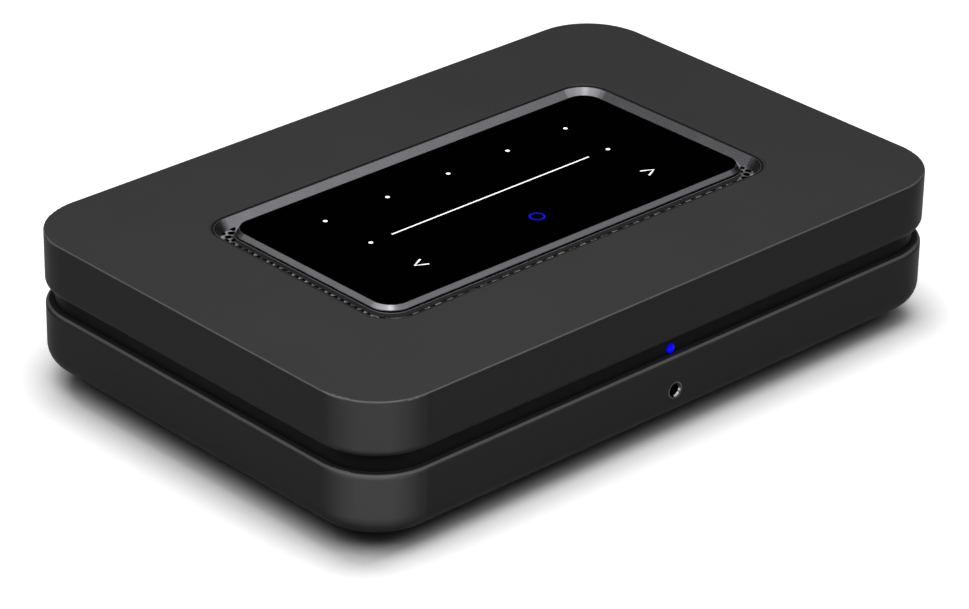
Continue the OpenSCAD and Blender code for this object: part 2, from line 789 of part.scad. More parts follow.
module tube(p, r, n = 8) {
    count = len(p);
    points = [
        for (i = [0:count - 1])
            let (t = heading(p, i), u = sides(p, i), v = cross(t, u))
                for (k = [0:n - 1]) p[i] + r * (cos(360 * k / n) * u + sin(360 * k / n) * v)
    ];
    walls = [
        for (i = [0:count - 2])
            for (k = [0:n - 1])
                let (a = i * n + k, b = i * n + (k + 1) % n)
                    each [[a, b + n, b], [a, a + n, b + n]]
    ];
    caps = [
        for (k = [1:n - 2])
            let (e = (count - 1) * n)
                each [[0, k, k + 1], [e, e + k + 1, e + k]]
    ];
    polyhedron(points = points, faces = concat(walls, caps));
}

module lead(p, r) {
    tube(cut_corners(cut_corners(p)), r);
}

// A flat strip whose edge follows points in a plane
module strip(p, t) {
    left = [
        for (i = [0:len(p) - 1])
            let (a = p[max(i - 1, 0)], b = p[min(i + 1, len(p) - 1)], h = unit(b - a))
                p[i] + t / 2 * [-h[1], h[0]]
    ];
    right = [
        for (i = [len(p) - 1:-1:0])
            let (a = p[max(i - 1, 0)], b = p[min(i + 1, len(p) - 1)], h = unit(b - a))
                p[i] - t / 2 * [-h[1], h[0]]
    ];
    polygon(concat(left, right));
}

// Case
module at_bosses() {
    for (sx = [-1, 1]) {
        for (sy = [-1, 1]) {
            translate([sx * boss_x, sy * boss_y, 0]) children();
        }
    }
}

module at_feet() {
    for (sx = [-1, 1]) {
        for (sy = [-1, 1]) {
            translate([sx * foot_x, sy * foot_y, 0]) children();
        }
    }
}

module at_stakes() {
    for (sx = [-1, 1]) {
        for (k = [-1, 1]) {
            translate([sx * stake_x, k * stake_col, 0]) children();
            translate([k * stake_row, sx * stake_y, 0]) children();
        }
        translate([0, sx * stake_y, 0]) children();
    }
}

module band_ribs(z0, z1) {
    reach = band_in - wall + sink_in;
    for (s = [-1, 1]) {
        translate([s * rib_x - rib_w / 2, y_front + wall - sink_in, z0]) cube([rib_w, reach, z1 - z0]);
        for (k = [-1, 1]) {
            x = k > 0 ? body_w / 2 - band_in : -body_w / 2 + wall - sink_in;
            translate([x, s * rib_y - rib_w / 2, z0]) cube([reach, rib_w, z1 - z0]);
        }
    }
}

module bay_block(grow, y0, y1) {
    w = bay_w + 2 * grow;
    h = bay_h + 2 * grow;
    translate([0, y1, (bay_z0 + bay_z1) / 2]) rotate([90, 0, 0])
        linear_extrude(y1 - y0) round_rect(w, h, bay_r + grow);
}

module bay_cut() {
    bay_block(bay_wall + bay_fit, y_back - past, y_rear + past);
}

module upper_shell() {
    color("#303032") difference() {
        union() {
            difference() {
                soft_block(body_w, body_d, corner_r, z_up, z_top, skirt_edge_r, top_edge_r);
                slab(body_w - 2 * wall, body_d - 2 * wall, corner_r - wall, z_up - past, z_ceil);
            }
            at_bosses() translate([0, 0, z_meet]) cylinder(r = boss_r, h = z_ceil - z_meet + sink_in);
            at_stakes() {
                translate([0, 0, grille_z0 - sink_in]) cylinder(r = stake_r, h = grille_t + 2 * sink_in);
                translate([0, 0, grille_z0 - stake_head_t]) cylinder(r = stake_head_r, h = stake_head_t);
            }
            band_ribs(band_z1, z_ceil + sink_in);
        }
        slab(opening_w, opening_d, opening_r, z_ceil - past, z_top + past);
        flared_block(opening_w, opening_d, opening_r, z_bezel, z_top + past, lip_w * (1 + past / bezel_drop));
        slab(opening_w + 2 * flange_w, opening_d + 2 * flange_w, opening_r + flange_w,
            z_ceil - sink_in, z_ceil + flange_t + fit);
        at_bosses() translate([0, 0, z_meet - past])
            cylinder(r = case_screw[0] + screw_fit, h = z_case_head + case_len - z_meet + 2 * past);
        bay_cut();
    }
}

module lower_shell() {
    color("#2c2c2e") difference() {
        union() {
            difference() {
                soft_block(body_w, body_d, corner_r, z_base, z_low, base_edge_r, ledge_edge_r);
                slab(body_w - 2 * wall, body_d - 2 * wall, corner_r - wall, z_floor, z_low + past);
            }
            at_bosses() translate([0, 0, z_floor - sink_in])
                cylinder(r = boss_r, h = z_meet - z_floor + sink_in);
            band_ribs(z_floor - sink_in, band_z0);
            for (p = concat(MAIN_SCREWS, POWER_SCREWS)) {
                can(p, z_floor - sink_in, [post_r, post_h + sink_in]);
            }
            for (p = FRONT_SCREWS) {
                can(p, z_floor - sink_in, [post_r, z_front_board - z_floor + sink_in]);
            }
        }
        at_bosses() {
            translate([0, 0, z_base - past]) cylinder(r = case_hole_r, h = lower_h + groove_h);
            translate([0, 0, z_base - past])
                cylinder(r = case_screw[1] + pass_fit, h = case_sink + past);
        }
        at_feet() translate([0, 0, z_base - past]) cylinder(r = foot_r + fit, h = foot_sink + past);
        for (p = concat(MAIN_SCREWS, POWER_SCREWS)) {
            can(p, z_parts - board_screw_len - sink_in, [pilot_r, board_screw_len + past]);
        }
        for (p = FRONT_SCREWS) {
            can(p, z_front_parts - board_screw_len - sink_in, [pilot_r, board_screw_len + past]);
        }
        for (s = [-1, 1]) {
            for (i = [0:slot_count - 1]) {
                translate([s * (slot_pitch * (i + 0.5) + 4), 0, z_base - past])
                    linear_extrude(floor_t + 2 * past) rotate(90) round_slot(slot_len, slot_w);
            }
        }
        rod_y(0, y_front - past, y_front + wall + past, z_base + phone_z, ferrule_d / 2 + fit);
        bay_cut();
    }
}

module mid_band() {
    color("#161617") difference() {
        slab(body_w - 2 * band_inset, body_d - 2 * band_inset, corner_r - band_inset, band_z0, band_z1);
        slab(body_w - 2 * band_in, body_d - 2 * band_in, corner_r - band_in, band_z0 - past,
            band_z1 + past);
        rod_y(0, y_front, y_front + band_in + past, z_pipe, pipe_d / 2 + fit);
        gap_w = bay_w + 2 * (bay_wall + bay_fit);
        translate([-gap_w / 2, y_back, band_z0 - past]) cube([gap_w, bay_depth, band_z1 - band_z0 + 2 * past]);
    }
}

module rear_panel() {
    color("#1b1b1c") difference() {
        bay_block(bay_wall, y_back, y_rear - rim_sink);
        bay_block(0, y_plate, y_rear + past);
        for (i = [0:3]) {
            rod_y(row_x(i), y_back - past, y_rear, z_axis, barrel_d / 2 - barrel_neck + fit);
        }
        for (x = BLOCK_SCREWS) {
            rod_y(x, y_back - past, y_rear, z_axis + block_screw_z, panel_screw[0] + pass_fit);
        }
        for (i = MINIS) {
            rod_y(row_x(i), y_back - past, y_rear, z_mini, neck_d / 2 + bay_fit);
        }
        socket_cut(opt_x, optical_w, z_parts, opt_z1 + opt_floor);
        socket_cut(row_x(6), hdmi_open[0] + 2 * sheet_t, z_parts, z_parts + hdmi_open[1] + 2 * sheet_t);
        socket_cut(row_x(7), usb_open[0] + 2 * sheet_t, z_parts, z_parts + usb_open[1] + 2 * sheet_t);
        socket_cut(row_x(8), lan_size[0], z_parts, z_parts + lan_size[2]);
        inlet_form(inlet_rim + bay_fit, y_back - past, y_rear);
    }
}

BLOCK_SCREWS = [for (i = [0, 2]) (row_x(i) + row_x(i + 1)) / 2];

module socket_cut(x, w, z0, z1) {
    translate([x - w / 2 - bay_fit, y_back - past, z0 - bay_fit])
        cube([w + 2 * bay_fit, panel_t + 2 * past, z1 - z0 + 2 * bay_fit]);
}

module rubber_feet() {
    color("#101010") at_feet() rotate_extrude()
        polygon([[0, 0], [foot_r - 1, 0], [foot_r, 1], [foot_r, z_base + foot_sink], [0, z_base + foot_sink]]);
}

module case_screws() {
    color("#8a8a8c") at_bosses() translate([0, 0, z_case_head]) rotate([180, 0, 0])
        screw(case_screw, case_len);
}

// Well and touch panel
module bezel_ring() {
    color("#9a9a9c") difference() {
        union() {
            slab(bezel_w, bezel_d, bezel_r, z_well, z_bezel);
            slab(opening_w + 2 * flange_w - 2 * fit, opening_d + 2 * flange_w - 2 * fit,
                opening_r + flange_w - fit, z_well, z_well + flange_t);
        }
        rise = z_bezel - z_well - bezel_foot;
        slab(bezel_w - 2 * well_in, bezel_d - 2 * well_in, bezel_r - well_in, z_well - past,
            z_well + bezel_foot);
        over = 1 + past / rise;
        flared_block(bezel_w - 2 * well_in, bezel_d - 2 * well_in, bezel_r - well_in,
            z_well + bezel_foot, z_bezel + past, bezel_bevel * over);
    }
}

// How far a point lies outside a rounded rectangle
function outside(p, w, d, r) =
    let (q = [abs(p[0]) - w / 2 + r, abs(p[1]) - d / 2 + r])
        norm([max(q[0], 0), max(q[1], 0)]) + min(max(q[0], q[1]), 0) - r;

module vent_grille() {
    holes_x = ceil(opening_w / hole_px / 2);
    holes_y = ceil(opening_d / hole_py / 2);
    edge = 0.1 * hole_d;
    color("#4a4a4c") difference() {
        slab(opening_w + 2 * grille_lap, opening_d + 2 * grille_lap, opening_r, grille_z0, z_well);
        slab(tub_w + 2 * fit, tub_d + 2 * fit, tub_r + fit, grille_z0 - past, z_well + past);
        at_stakes() translate([0, 0, grille_z0 - past]) cylinder(r = stake_r + fit, h = grille_t + 2 * past);
        for (i = [-holes_x:holes_x]) {
            for (j = [-holes_y:holes_y]) {
                for (h = [0, 0.5]) {
                    p = [(i + h) * hole_px, (j + h) * hole_py];
                    if (outside(p, panel_w, panel_d, panel_r) > -edge
                        && outside(p, bezel_w - 2 * well_in, bezel_d - 2 * well_in, bezel_r - well_in) < edge)
                        translate([p[0], p[1], grille_z0 - past])
                            cylinder(d = hole_d, h = grille_t + 2 * past, $fn = 16);
                }
            }
        }
    }
}

module touch_tray() {
    color("#141415") difference() {
        union() {
            slab(tub_w, tub_d, tub_r, z_tub, z_well + sink_in);
            slab(panel_w, panel_d, panel_r, z_well, z_flange);
            slab(frame_w - 2 * shadow_d, frame_d - 2 * shadow_d, frame_r - shadow_d, z_well + sink_in, z_seat);
            for (s = [-1, 1]) {
                for (k = [-1, 1]) {
                    translate([k * tub_w / 4 - hook_len / 2, s > 0 ? tub_d / 2 - sink_in : -tub_d / 2 - hook_reach,
                        hook_z]) cube([hook_len, hook_reach + sink_in, hook_t]);
                }
                translate([s > 0 ? tub_w / 2 - sink_in : -tub_w / 2 - hook_reach, -hook_len / 2, hook_z])
                    cube([hook_reach + sink_in, hook_len, hook_t]);
            }
        }
        slab(pocket_w, pocket_d, pocket_r, z_tub_floor + touch_rib_h, z_seat + past);
        for (k = [-1, 0, 1]) {
            w = pocket_w / 3 - tub_wall;
            translate([k * pocket_w / 3, 0, 0])
                slab(w, pocket_d - 2 * tub_wall, pocket_r, z_tub_floor, z_seat);
        }
        stand(touch_flex_at, z_tub - past, [flex_socket[0] + 1, flex_socket[1] + 1, z_touch - z_tub + 2 * past]);
    }
}

module touch_frame() {
    color("#8d8d90") difference() {
        edged_block(frame_w, frame_d, frame_r, z_seat, z_top) polygon([
            [0, z_seat], [frame_r, z_seat], [frame_r, z_top - frame_bevel], [frame_r - frame_bevel, z_top], [0, z_top]
        ]);
        slab(glass_w + 2 * fit, glass_d + 2 * fit, glass_r + fit, z_seat - past, z_top + past);
    }
}

module chevron_shape() {
    a = chevron / 2;
    strip([[-a, a], [a, 0], [-a, -a]], chevron_t);
}

module icon_shapes() {
    for (i = [-2:2]) {
        translate([i * dot_pitch, dot_y]) circle(d = dot_d);
    }
    for (s = [-1, 1]) {
        translate([s * slider_end, 0]) circle(d = dot_d);
        translate([s * chevron_x, -low_y]) rotate(s > 0 ? 0 : 180) chevron_shape();
    }
    square([slider_len, slider_t], center = true);
}

module ring_shape() {
    translate([0, -low_y]) difference() {
        circle(d = ring_d);
        circle(d = ring_d - 2 * ring_t);
    }
}

module touch_glass() {
    color("#050506") difference() {
        slab(glass_w, glass_d, glass_r, z_seat, z_top);
        translate([0, 0, z_top - icon_t]) linear_extrude(icon_t + past) {
            icon_shapes();
            ring_shape();
        }
    }
}

module touch_icons() {
    color("#f2f2f2") translate([0, 0, z_top - icon_t]) linear_extrude(icon_t) icon_shapes();
}

module play_ring() {
    color("#1020ff") translate([0, 0, z_top - icon_t]) linear_extrude(icon_t) ring_shape();
}

module light_mask() {
    color("#dcdcd8") slab(pocket_w - 2 * fit, pocket_d - 2 * fit, pocket_r - fit, z_mask, z_mask + mask_t);
}

module touch_leds() {
    color("#fff6d0") {
        for (i = [-2:2]) {
            stand([i * dot_pitch, dot_y], z_touch_top, touch_led);
            stand([i * slider_len / 5, 0], z_touch_top, touch_led);
        }
        for (s = [-1, 1]) {
            stand([s * slider_end, 0], z_touch_top, touch_led);
            stand([s * chevron_x, -low_y], z_touch_top, touch_led);
        }
        stand([0, -low_y], z_touch_top, touch_led);
    }
}

module touch_board() {
    color("#1d4a2c") {
        slab(pocket_w - 2 * fit, pocket_d - 2 * fit, pocket_r - fit, z_touch, z_touch_top);
        stand(touch_flex_at, z_touch - flex_socket[2], [flex_socket[0], flex_socket[1], flex_socket[2] + sink_in]);
    }
}

module touch_flex() {
    z0 = z_parts + flex_socket[2];
    z1 = z_touch - flex_socket[2];
    h = (z1 - z0) / 4;
    path = [
        [0, z0], [0, z0 + h / 2], [touch_bow, z0 + 1.5 * h], [touch_bow, z1 - 1.5 * h], [0, z1 - h / 2], [0, z1]
    ];
    color("#c8c6ba") translate([touch_flex_at[0] - flex_w / 2, touch_flex_at[1], 0]) rotate([90, 0, 90])
        linear_extrude(flex_w) strip(path, flex_t);
}

// Front
module front_board() {
    color("#1d4a2c") difference() {
        translate([front_x0, front_y0, z_front_board]) cube([front_pcb[0], front_pcb[1], pcb_t]);
        for (p = FRONT_SCREWS) {
            can(p, z_front_board - past, [board_screw[0] + pass_fit, pcb_t + 2 * past]);
        }
    }
}

module headphone_socket() {
    y0 = y_front + phone_back;
    y1 = y_front + ferrule_sink + mini_depth;
    z = z_base + phone_z;
    color("#1a1a1a") difference() {
        translate([-phone_body[0] / 2, y0, z_front_parts]) cube(phone_body);
        rod_y(0, y0 - past, y1, z, ferrule_d / 2 + screw_fit);
        rod_y(0, y1 - past, y1 + (y0 + phone_body[1] - y1) / 2, z, mini_bore / 2 + pass_fit);
    }
}

module headphone_ferrule() {
    y0 = y_front + ferrule_sink;
    y1 = y0 + mini_depth;
    rb = mini_bore / 2;
    ro = ferrule_d / 2;
    color("#b9b9bc") translate([0, y0, z_base + phone_z]) rotate([-90, 0, 0]) rotate_extrude()
        polygon([[rb + ferrule_lead, 0], [ro, 0], [ro, y1 - y0], [rb, y1 - y0], [rb, ferrule_lead]]);
}

module status_led() {
    color("#e8ecff") stand([0, pipe_y], z_front_parts, status_size);
}

module status_light_pipe() {
    r = pipe_d / 2;
    color("#2030ff") {
        translate([0, pipe_y, z_status]) cylinder(r = r, h = z_pipe - z_status);
        translate([0, pipe_y, z_pipe]) sphere(r);
        rod_y(0, y_front + band_inset - pipe_out, pipe_y, z_pipe, r);
    }
}

module ir_receiver() {
    at = [ir_x, y_front + ir_back];
    z = z_meet - ir_size[2] / 2;
    color("#18181a") {
        stand(at, z, ir_size);
        for (i = [-1:1]) {
            stand(at + [i * ir_pitch, 0], z_front_parts, [ir_lead, ir_lead, z - z_front_parts + sink_in]);
        }
    }
}

module front_flex() {
    z0 = z_front_parts + flex_socket[2];
    z1 = z_parts + flex_socket[2];
    a = front_y1 - part_edge - flex_socket[1] / 2;
    b = main_y0 + part_edge + flex_socket[1] / 2;
    low = z1 + flex_bend / 2;
    high = low + flex_bend;
    path = [
        [a, z0], [a, low], [a + flex_bend, high], [b - flex_bend, high], [b, low], [b, z1]
    ];
    color("#c8c6ba") translate([front_flex_x - flex_w / 2, 0, 0]) rotate([90, 0, 90])
        linear_extrude(flex_w) strip(path, flex_t);
}

// Main board and its parts
module main_outline() {
    translate([main_x0, main_mid]) square([main_x1 - main_x0, main_y1 - main_mid]);
    translate([main_left, main_y0]) square([main_x1 - main_left, main_mid - main_y0 + sink_in]);
}

module main_board() {
    color("#1d4a2c") difference() {
        translate([0, 0, z_board]) linear_extrude(pcb_t) main_outline();
        for (p = MAIN_SCREWS) {
            can(p, z_board - past, [board_screw[0] + pass_fit, pcb_t + 2 * past]);
        }
        for (p = PUSH) {
            can(p, z_board - past, [push_r + screw_fit, pcb_t + 2 * past]);
        }
    }
}

module board_screws() {
    color("#9c9c9e") {
        for (p = concat(MAIN_SCREWS, POWER_SCREWS)) {
            translate([p[0], p[1], z_parts]) screw(board_screw, board_screw_len);
        }
        for (p = FRONT_SCREWS) {
            translate([p[0], p[1], z_front_parts]) screw(board_screw, board_screw_len);
        }
    }
}

module processor() {
    color("#202022") stand(cpu_at, z_parts, cpu_size);
}

module thermal_pad() {
    color("#7d93a8") stand(cpu_at, z_thermal, [cpu_size[0], cpu_size[1], thermal_t]);
}

module heat_sink() {
    step = (sink_w - fin_t) / (fin_count - 1);
    color("#8f9092") difference() {
        union() {
            stand(cpu_at, z_sink, [sink_w, sink_w, sink_base]);
            for (i = [0:fin_count - 1]) {
                translate([cpu_at[0] - sink_w / 2 + i * step, cpu_at[1] - sink_w / 2, z_fins - sink_in])
                    cube([fin_t, sink_w, fin_h + sink_in]);
            }
        }
        for (p = PUSH) {
            can(p, z_sink - past, [push_r + screw_fit, sink_base + 2 * past]);
            can(p, z_fins, [push_head[0] + fit, fin_h + past]);
        }
    }
}

module heat_sink_pins() {
    color("#e4e2da") for (p = PUSH) {
        can(p, z_board - push_barb[1] / 2, [push_r, z_fins - z_board + push_barb[1]]);
        can(p, z_fins, push_head);
        can(p, z_board - push_barb[1], push_barb);
    }
}

module wireless_module() {
    color("#a8a9ac") {
        stand(radio_at, z_parts, radio_size);
        for (s = [-1, 1]) {
            can([radio_at[0] + s * coax_pitch / 2, coax_y], z_radio - sink_in, coax_size + [0, sink_in]);
        }
    }
}

module antennas() {
    color("#b87a2b") for (s = [-1, 1]) {
        stand([s * (body_w / 2 - wall - antenna_size[0] / 2), 0], z_ceil - antenna_size[2] - 0.6, antenna_size);
    }
}

module antenna_leads() {
    r = coax_d / 2;
    x = body_w / 2 - wall - antenna_size[0] - r;
    z0 = z_radio + coax_size[1];
    z1 = z_ceil - antenna_size[2] / 2;
    xr = radio_at[0] + coax_pitch / 2;
    xl = radio_at[0] - coax_pitch / 2;
    zt = z_tub - r;
    color("#3a3a3c") {
        lead([[xr, coax_y, z0], [xr, coax_y, z0 + 6], [xr + 8, coax_y + 6, z1 - 2], [x, 2, z1], [x, 6, z1]], r);
        lead([
            [xl, coax_y, z0], [xl, coax_y, z0 + 6], [xl - 4, 8, zt - 4], [tub_w / 2 - 4, 10, zt],
            [-tub_w / 2 + 4, 10, zt], [-tub_w / 2 - 24, 8, z1], [-x, 2, z1], [-x, -4, z1]
        ], r);
    }
}

module board_chips() {
    color("#232325") for (c = CHIP_ROWS) {
        stand(c[1], z_parts, c[0]);
    }
}

module board_capacitors() {
    color("#3b4a6b") for (p = CAPS) {
        can(p, z_parts, audio_cap);
    }
}

module board_coils() {
    color("#3f4042") for (p = COILS) {
        stand(p, z_parts, coil_size);
    }
}

module board_connectors() {
    color("#e6e2d2") {
        stand(touch_flex_at, z_parts, flex_socket);
        stand([front_flex_x, main_y0 + part_edge + flex_socket[1] / 2], z_parts, flex_socket);
        stand([front_flex_x, front_y1 - part_edge - flex_socket[1] / 2], z_front_parts, flex_socket);
        stand(main_header, z_parts, header_size);
        stand(power_header, z_parts, header_size);
    }
}

// Rear sockets
module phono_blocks() {
    color("#1a1a1b") for (i = [0, 2]) {
        x1 = row_x(i) + phono_w / 2;
        x0 = row_x(i + 1) - phono_w / 2;
        difference() {
            translate([x0, block_y0, z_parts]) cube([x1 - x0, block_d, block_h]);
            for (k = [i, i + 1]) {
                rod_y(row_x(k), barrel_y0, y_plate, z_axis, barrel_d / 2 - barrel_neck + screw_fit);
            }
            rod_y((x0 + x1) / 2, y_plate - panel_screw_len - past, y_plate, z_axis + block_screw_z,
                panel_screw[0] + screw_fit);
        }
    }
}

module phono_barrels() {
    color("#c9a54a") for (i = [0:3]) {
        difference() {
            union() {
                rod_y(row_x(i), y_plate, barrel_y1, z_axis, barrel_d / 2);
                rod_y(row_x(i), barrel_y0, y_plate, z_axis, barrel_d / 2 - barrel_neck);
            }
            rod_y(row_x(i), barrel_y0 - past, barrel_y1 + past, z_axis, barrel_in);
        }
    }
}

module phono_inserts() {
    color("#ececea") for (i = [0:3]) {
        difference() {
            rod_y(row_x(i), barrel_y0, barrel_y1 - fit, z_axis, barrel_in - screw_fit);
            rod_y(row_x(i), barrel_y1 - phono_depth, barrel_y1, z_axis, phono_bore / 2);
        }
    }
}

module rear_panel_screws() {
    color("#77777a") for (x = BLOCK_SCREWS) {
        translate([x, y_plate, z_axis + block_screw_z]) rotate([-90, 0, 0]) screw(panel_screw, panel_screw_len);
    }
}

module optical_socket() {
    color("#202022") difference() {
        translate([opt_x - optical_w / 2, opt_room_y0 - opt_back, z_parts])
            cube([optical_w, opt_y1 - opt_room_y0 + opt_back, opt_z1 + opt_floor - z_parts]);
        translate([opt_x - opt_room_w / 2, opt_room_y0, opt_z0])
            cube([opt_room_w, opt_depth, opt_z1 - opt_z0]);
        translate([opt_x - mouth / 2, opt_room_y1 - past, mouth_z0]) cube([mouth, lip_t + 2 * past, mouth]);
        translate([opt_x - opt_room_w / 2 - flap_pin_len - flap_side, hinge_y, hinge_z]) rotate([0, 90, 0])
            cylinder(d = flap_pin + 2 * flap_run, h = opt_room_w + 2 * (flap_pin_len + flap_side));
    }
}

module optical_shutter() {
    color("#0e0e0f") {
        difference() {
            translate([opt_x - flap_w / 2, hinge_y - flap_t / 2, flap_z0]) cube([flap_w, flap_t, hinge_z - flap_z0]);
            translate([opt_x - spring_room / 2, hinge_y - flap_t, hinge_z - 2 * spring_r])
                cube([spring_room, 2 * flap_t, 4 * spring_r]);
        }
        translate([opt_x - opt_room_w / 2 - flap_pin_len, hinge_y, hinge_z]) rotate([0, 90, 0])
            cylinder(d = flap_pin, h = opt_room_w + 2 * flap_pin_len);
    }
}

// The shutter spring: turns round the pin and two short legs
spring_steps = 8 * spring_turns;
spring_x0 = opt_x - spring_turns * spring_pitch / 2;
spring_y = hinge_y - spring_r;
SPRING = [
    [spring_x0, spring_y, hinge_z - spring_leg],
    for (i = [0:spring_steps])
        let (a = 360 * i / 8, x = spring_x0 + spring_pitch * i / 8)
            [x, hinge_y - spring_r * cos(a), hinge_z + spring_r * sin(a)],
    [spring_x0 + spring_turns * spring_pitch, spring_y, opt_z1 - fit]
];
spring_gap = spring_pitch - spring_wire;
echo(least_gap_between_spring_turns = spring_gap);

module shutter_spring() {
    color("#b0b0b4") tube(SPRING, spring_wire / 2, 6);
}

module mini_sockets() {
    color("#1c1c1e") for (i = MINIS) {
        x = row_x(i);
        y1 = y_out;
        difference() {
            union() {
                translate([x - mini_w / 2 + fit, y_back - fit - mini_depth, z_parts])
                    cube([mini_w - 2 * fit, mini_depth, mini_h]);
                rod_y(x, y_back - fit - sink_in, y1, z_mini, neck_d / 2);
            }
            rod_y(x, y1 - mini_depth, y1 + past, z_mini, mini_bore / 2);
        }
    }
}

// A metal shell round an outline, with its back closed and a tongue inside
module data_socket(x, open) {
    z = z_parts + sheet_t + open[1] / 2;
    translate([x, y_out, z]) rotate([90, 0, 0]) {
        difference() {
            linear_extrude(data_d) square(open + 2 * sheet_t * [1, 1], center = true);
            translate([0, 0, -past]) linear_extrude(data_depth + past) children();
        }
        translate([-open[0] / 2 + 2, -tongue_t / 2, 1]) cube([open[0] - 4, tongue_t, data_depth]);
    }
}

module hdmi_socket() {
    w = hdmi_open[0] / 2;
    h = hdmi_open[1] / 2;
    c = hdmi_chamfer;
    color("#b4b5b8") data_socket(row_x(6), hdmi_open)
        polygon([[-w, h], [w, h], [w, c - h], [w - c, -h], [c - w, -h], [-w, c - h]]);
}

module usb_socket() {
    color("#b4b5b8") data_socket(row_x(7), usb_open) square(usb_open, center = true);
}

module lan_socket() {
    x = row_x(8);
    z = z_parts + (lan_size[2] - lan_open[1] - lan_latch[1]) / 2;
    color("#b4b5b8") difference() {
        translate([x - lan_size[0] / 2, y_out - lan_size[1], z_parts]) cube(lan_size);
        translate([x - lan_open[0] / 2, y_out - lan_depth, z]) cube([lan_open[0], lan_depth + past, lan_open[1]]);
        translate([x - lan_latch[0] / 2, y_out - lan_depth, z + lan_open[1] - sink_in])
            cube([lan_latch[0], lan_depth + past, lan_latch[1] + sink_in]);
    }
}

module inlet_form(grow, y0, y1) {
    translate([row_x(11), y1, z_axis]) rotate([90, 0, 0]) linear_extrude(y1 - y0)
        round_slot(inlet_open[0] + 2 * grow, inlet_open[1] + 2 * grow);
}

inlet_y1 = y_plate + inlet_flange_t;
inlet_floor = inlet_y1 - inlet_depth;

module mains_inlet() {
    color("#171718") difference() {
        union() {
            inlet_form(inlet_rim, inlet_floor - inlet_back, inlet_y1);
            inlet_form(inlet_rim + inlet_flange, y_plate, inlet_y1);
        }
        inlet_form(0, inlet_floor, inlet_y1 + past);
        for (s = [-1, 1]) {
            rod_y(row_x(11) + s * pin_pitch / 2, inlet_floor - inlet_back - past, inlet_floor + past, z_axis,
                pin_d / 2 + screw_fit);
        }
    }
}

module inlet_pins() {
    color("#c8c8cb") for (s = [-1, 1]) {
        rod_y(row_x(11) + s * pin_pitch / 2, inlet_floor - inlet_back - pin_tail, inlet_floor + pin_len, z_axis,
            pin_d / 2);
    }
}

module inlet_leads() {
    y1 = inlet_floor - inlet_back - pin_tail;
    z0 = z_parts + mains_size[2];
    color("#6a3b22") for (s = [-1, 1]) {
        x1 = row_x(11) + s * pin_pitch / 2;
        x0 = mains_at[0] + s * mains_size[0] / 4;
        y0 = mains_at[1];
        lead([[x1, y1, z_axis], [x1, y1 - 12, z_axis], [x0, y0 + 16, z0 + 6], [x0, y0, z0 + 6], [x0, y0, z0]],
            lead_d / 2);
    }
}

// Power board and its parts
mains_at = [power_x0 + past_screw + mains_size[0] / 2, power_y1 - part_edge - mains_size[1] / 2];
fuse_at = [
    power_x0 + part_edge + fuse_size[1] / 2,
    mains_at[1] - mains_size[1] / 2 - part_gap - fuse_size[0]
];
xcap_at = [
    power_x0 + part_edge + xcap_size[0] / 2,
    fuse_at[1] - fuse_size[0] - part_gap - xcap_size[1] / 2
];
choke_at = [power_x0 + part_edge + choke_size[0] / 2, power_y0 + past_screw + choke_size[1] / 2];
bulk_at = [
    choke_at[0] + choke_size[0] / 2 + part_gap + bulk_cap[0],
    power_y0 + part_edge + bulk_cap[0]
];
core_at = [
    xcap_at[0] + xcap_size[0] / 2 + part_gap + core_size[0] / 2,
    bulk_at[1] + bulk_cap[0] + part_gap + winding_size[1] / 2
];
OUT_CAPS = [
    for (i = [0:1])
        [power_x1 - part_edge - out_cap[0], power_y0 + past_screw + out_cap[0] + i * (2 * out_cap[0] + part_gap)]
];
plate_at = [
    OUT_CAPS[0][0] - out_cap[0] - part_gap - plate_size[0] / 2,
    power_y0 + part_edge + plate_size[1] / 2
];

module power_board() {
    color("#7a5a2a") difference() {
        translate([power_x0, power_y0, z_board]) cube([power_pcb[0], power_pcb[1], pcb_t]);
        for (p = POWER_SCREWS) {
            can(p, z_board - past, [board_screw[0] + pass_fit, pcb_t + 2 * past]);
        }
    }
}

module mains_filter() {
    color("#c9a227") {
        stand(mains_at, z_parts, mains_size);
        stand(xcap_at, z_parts, xcap_size);
        stand(choke_at, z_parts, choke_size);
        translate([fuse_at[0] - fuse_size[1] / 2, fuse_at[1], z_parts + fuse_rise]) rotate([0, 90, 0])
            cylinder(r = fuse_size[0], h = fuse_size[1]);
        for (s = [-1, 1]) {
            stand([fuse_at[0] + s * (fuse_size[1] - clip_w) / 2, fuse_at[1]], z_parts,
                [clip_w, 2 * fuse_size[0], fuse_rise]);
        }
    }
}

module power_capacitors() {
    color("#2c3350") {
        can(bulk_at, z_parts, bulk_cap);
        for (p = OUT_CAPS) {
            can(p, z_parts, out_cap);
        }
    }
}

module power_transformer() {
    color("#b9a64e") {
        stand(core_at, z_parts, core_size);
        stand(core_at, z_parts, winding_size);
    }
}

module power_heat_sink() {
    color("#9a9b9d") {
        stand(plate_at, z_parts, plate_size);
        stand(plate_at - [(plate_size[0] + transistor_size[0]) / 2, 0], z_parts, transistor_size);
    }
}

module power_harness() {
    z = z_parts + header_size[2];
    color("#a33327") for (i = [0:3]) {
        dy = (i - 1.5) * wire_pitch;
        a = [power_header[0], power_header[1] + dy, z];
        b = [main_header[0], main_header[1] + dy, z];
        up = [0, 0, wire_rise];
        lead([a, a + up, b + up, b], wire_d / 2);
    }
}

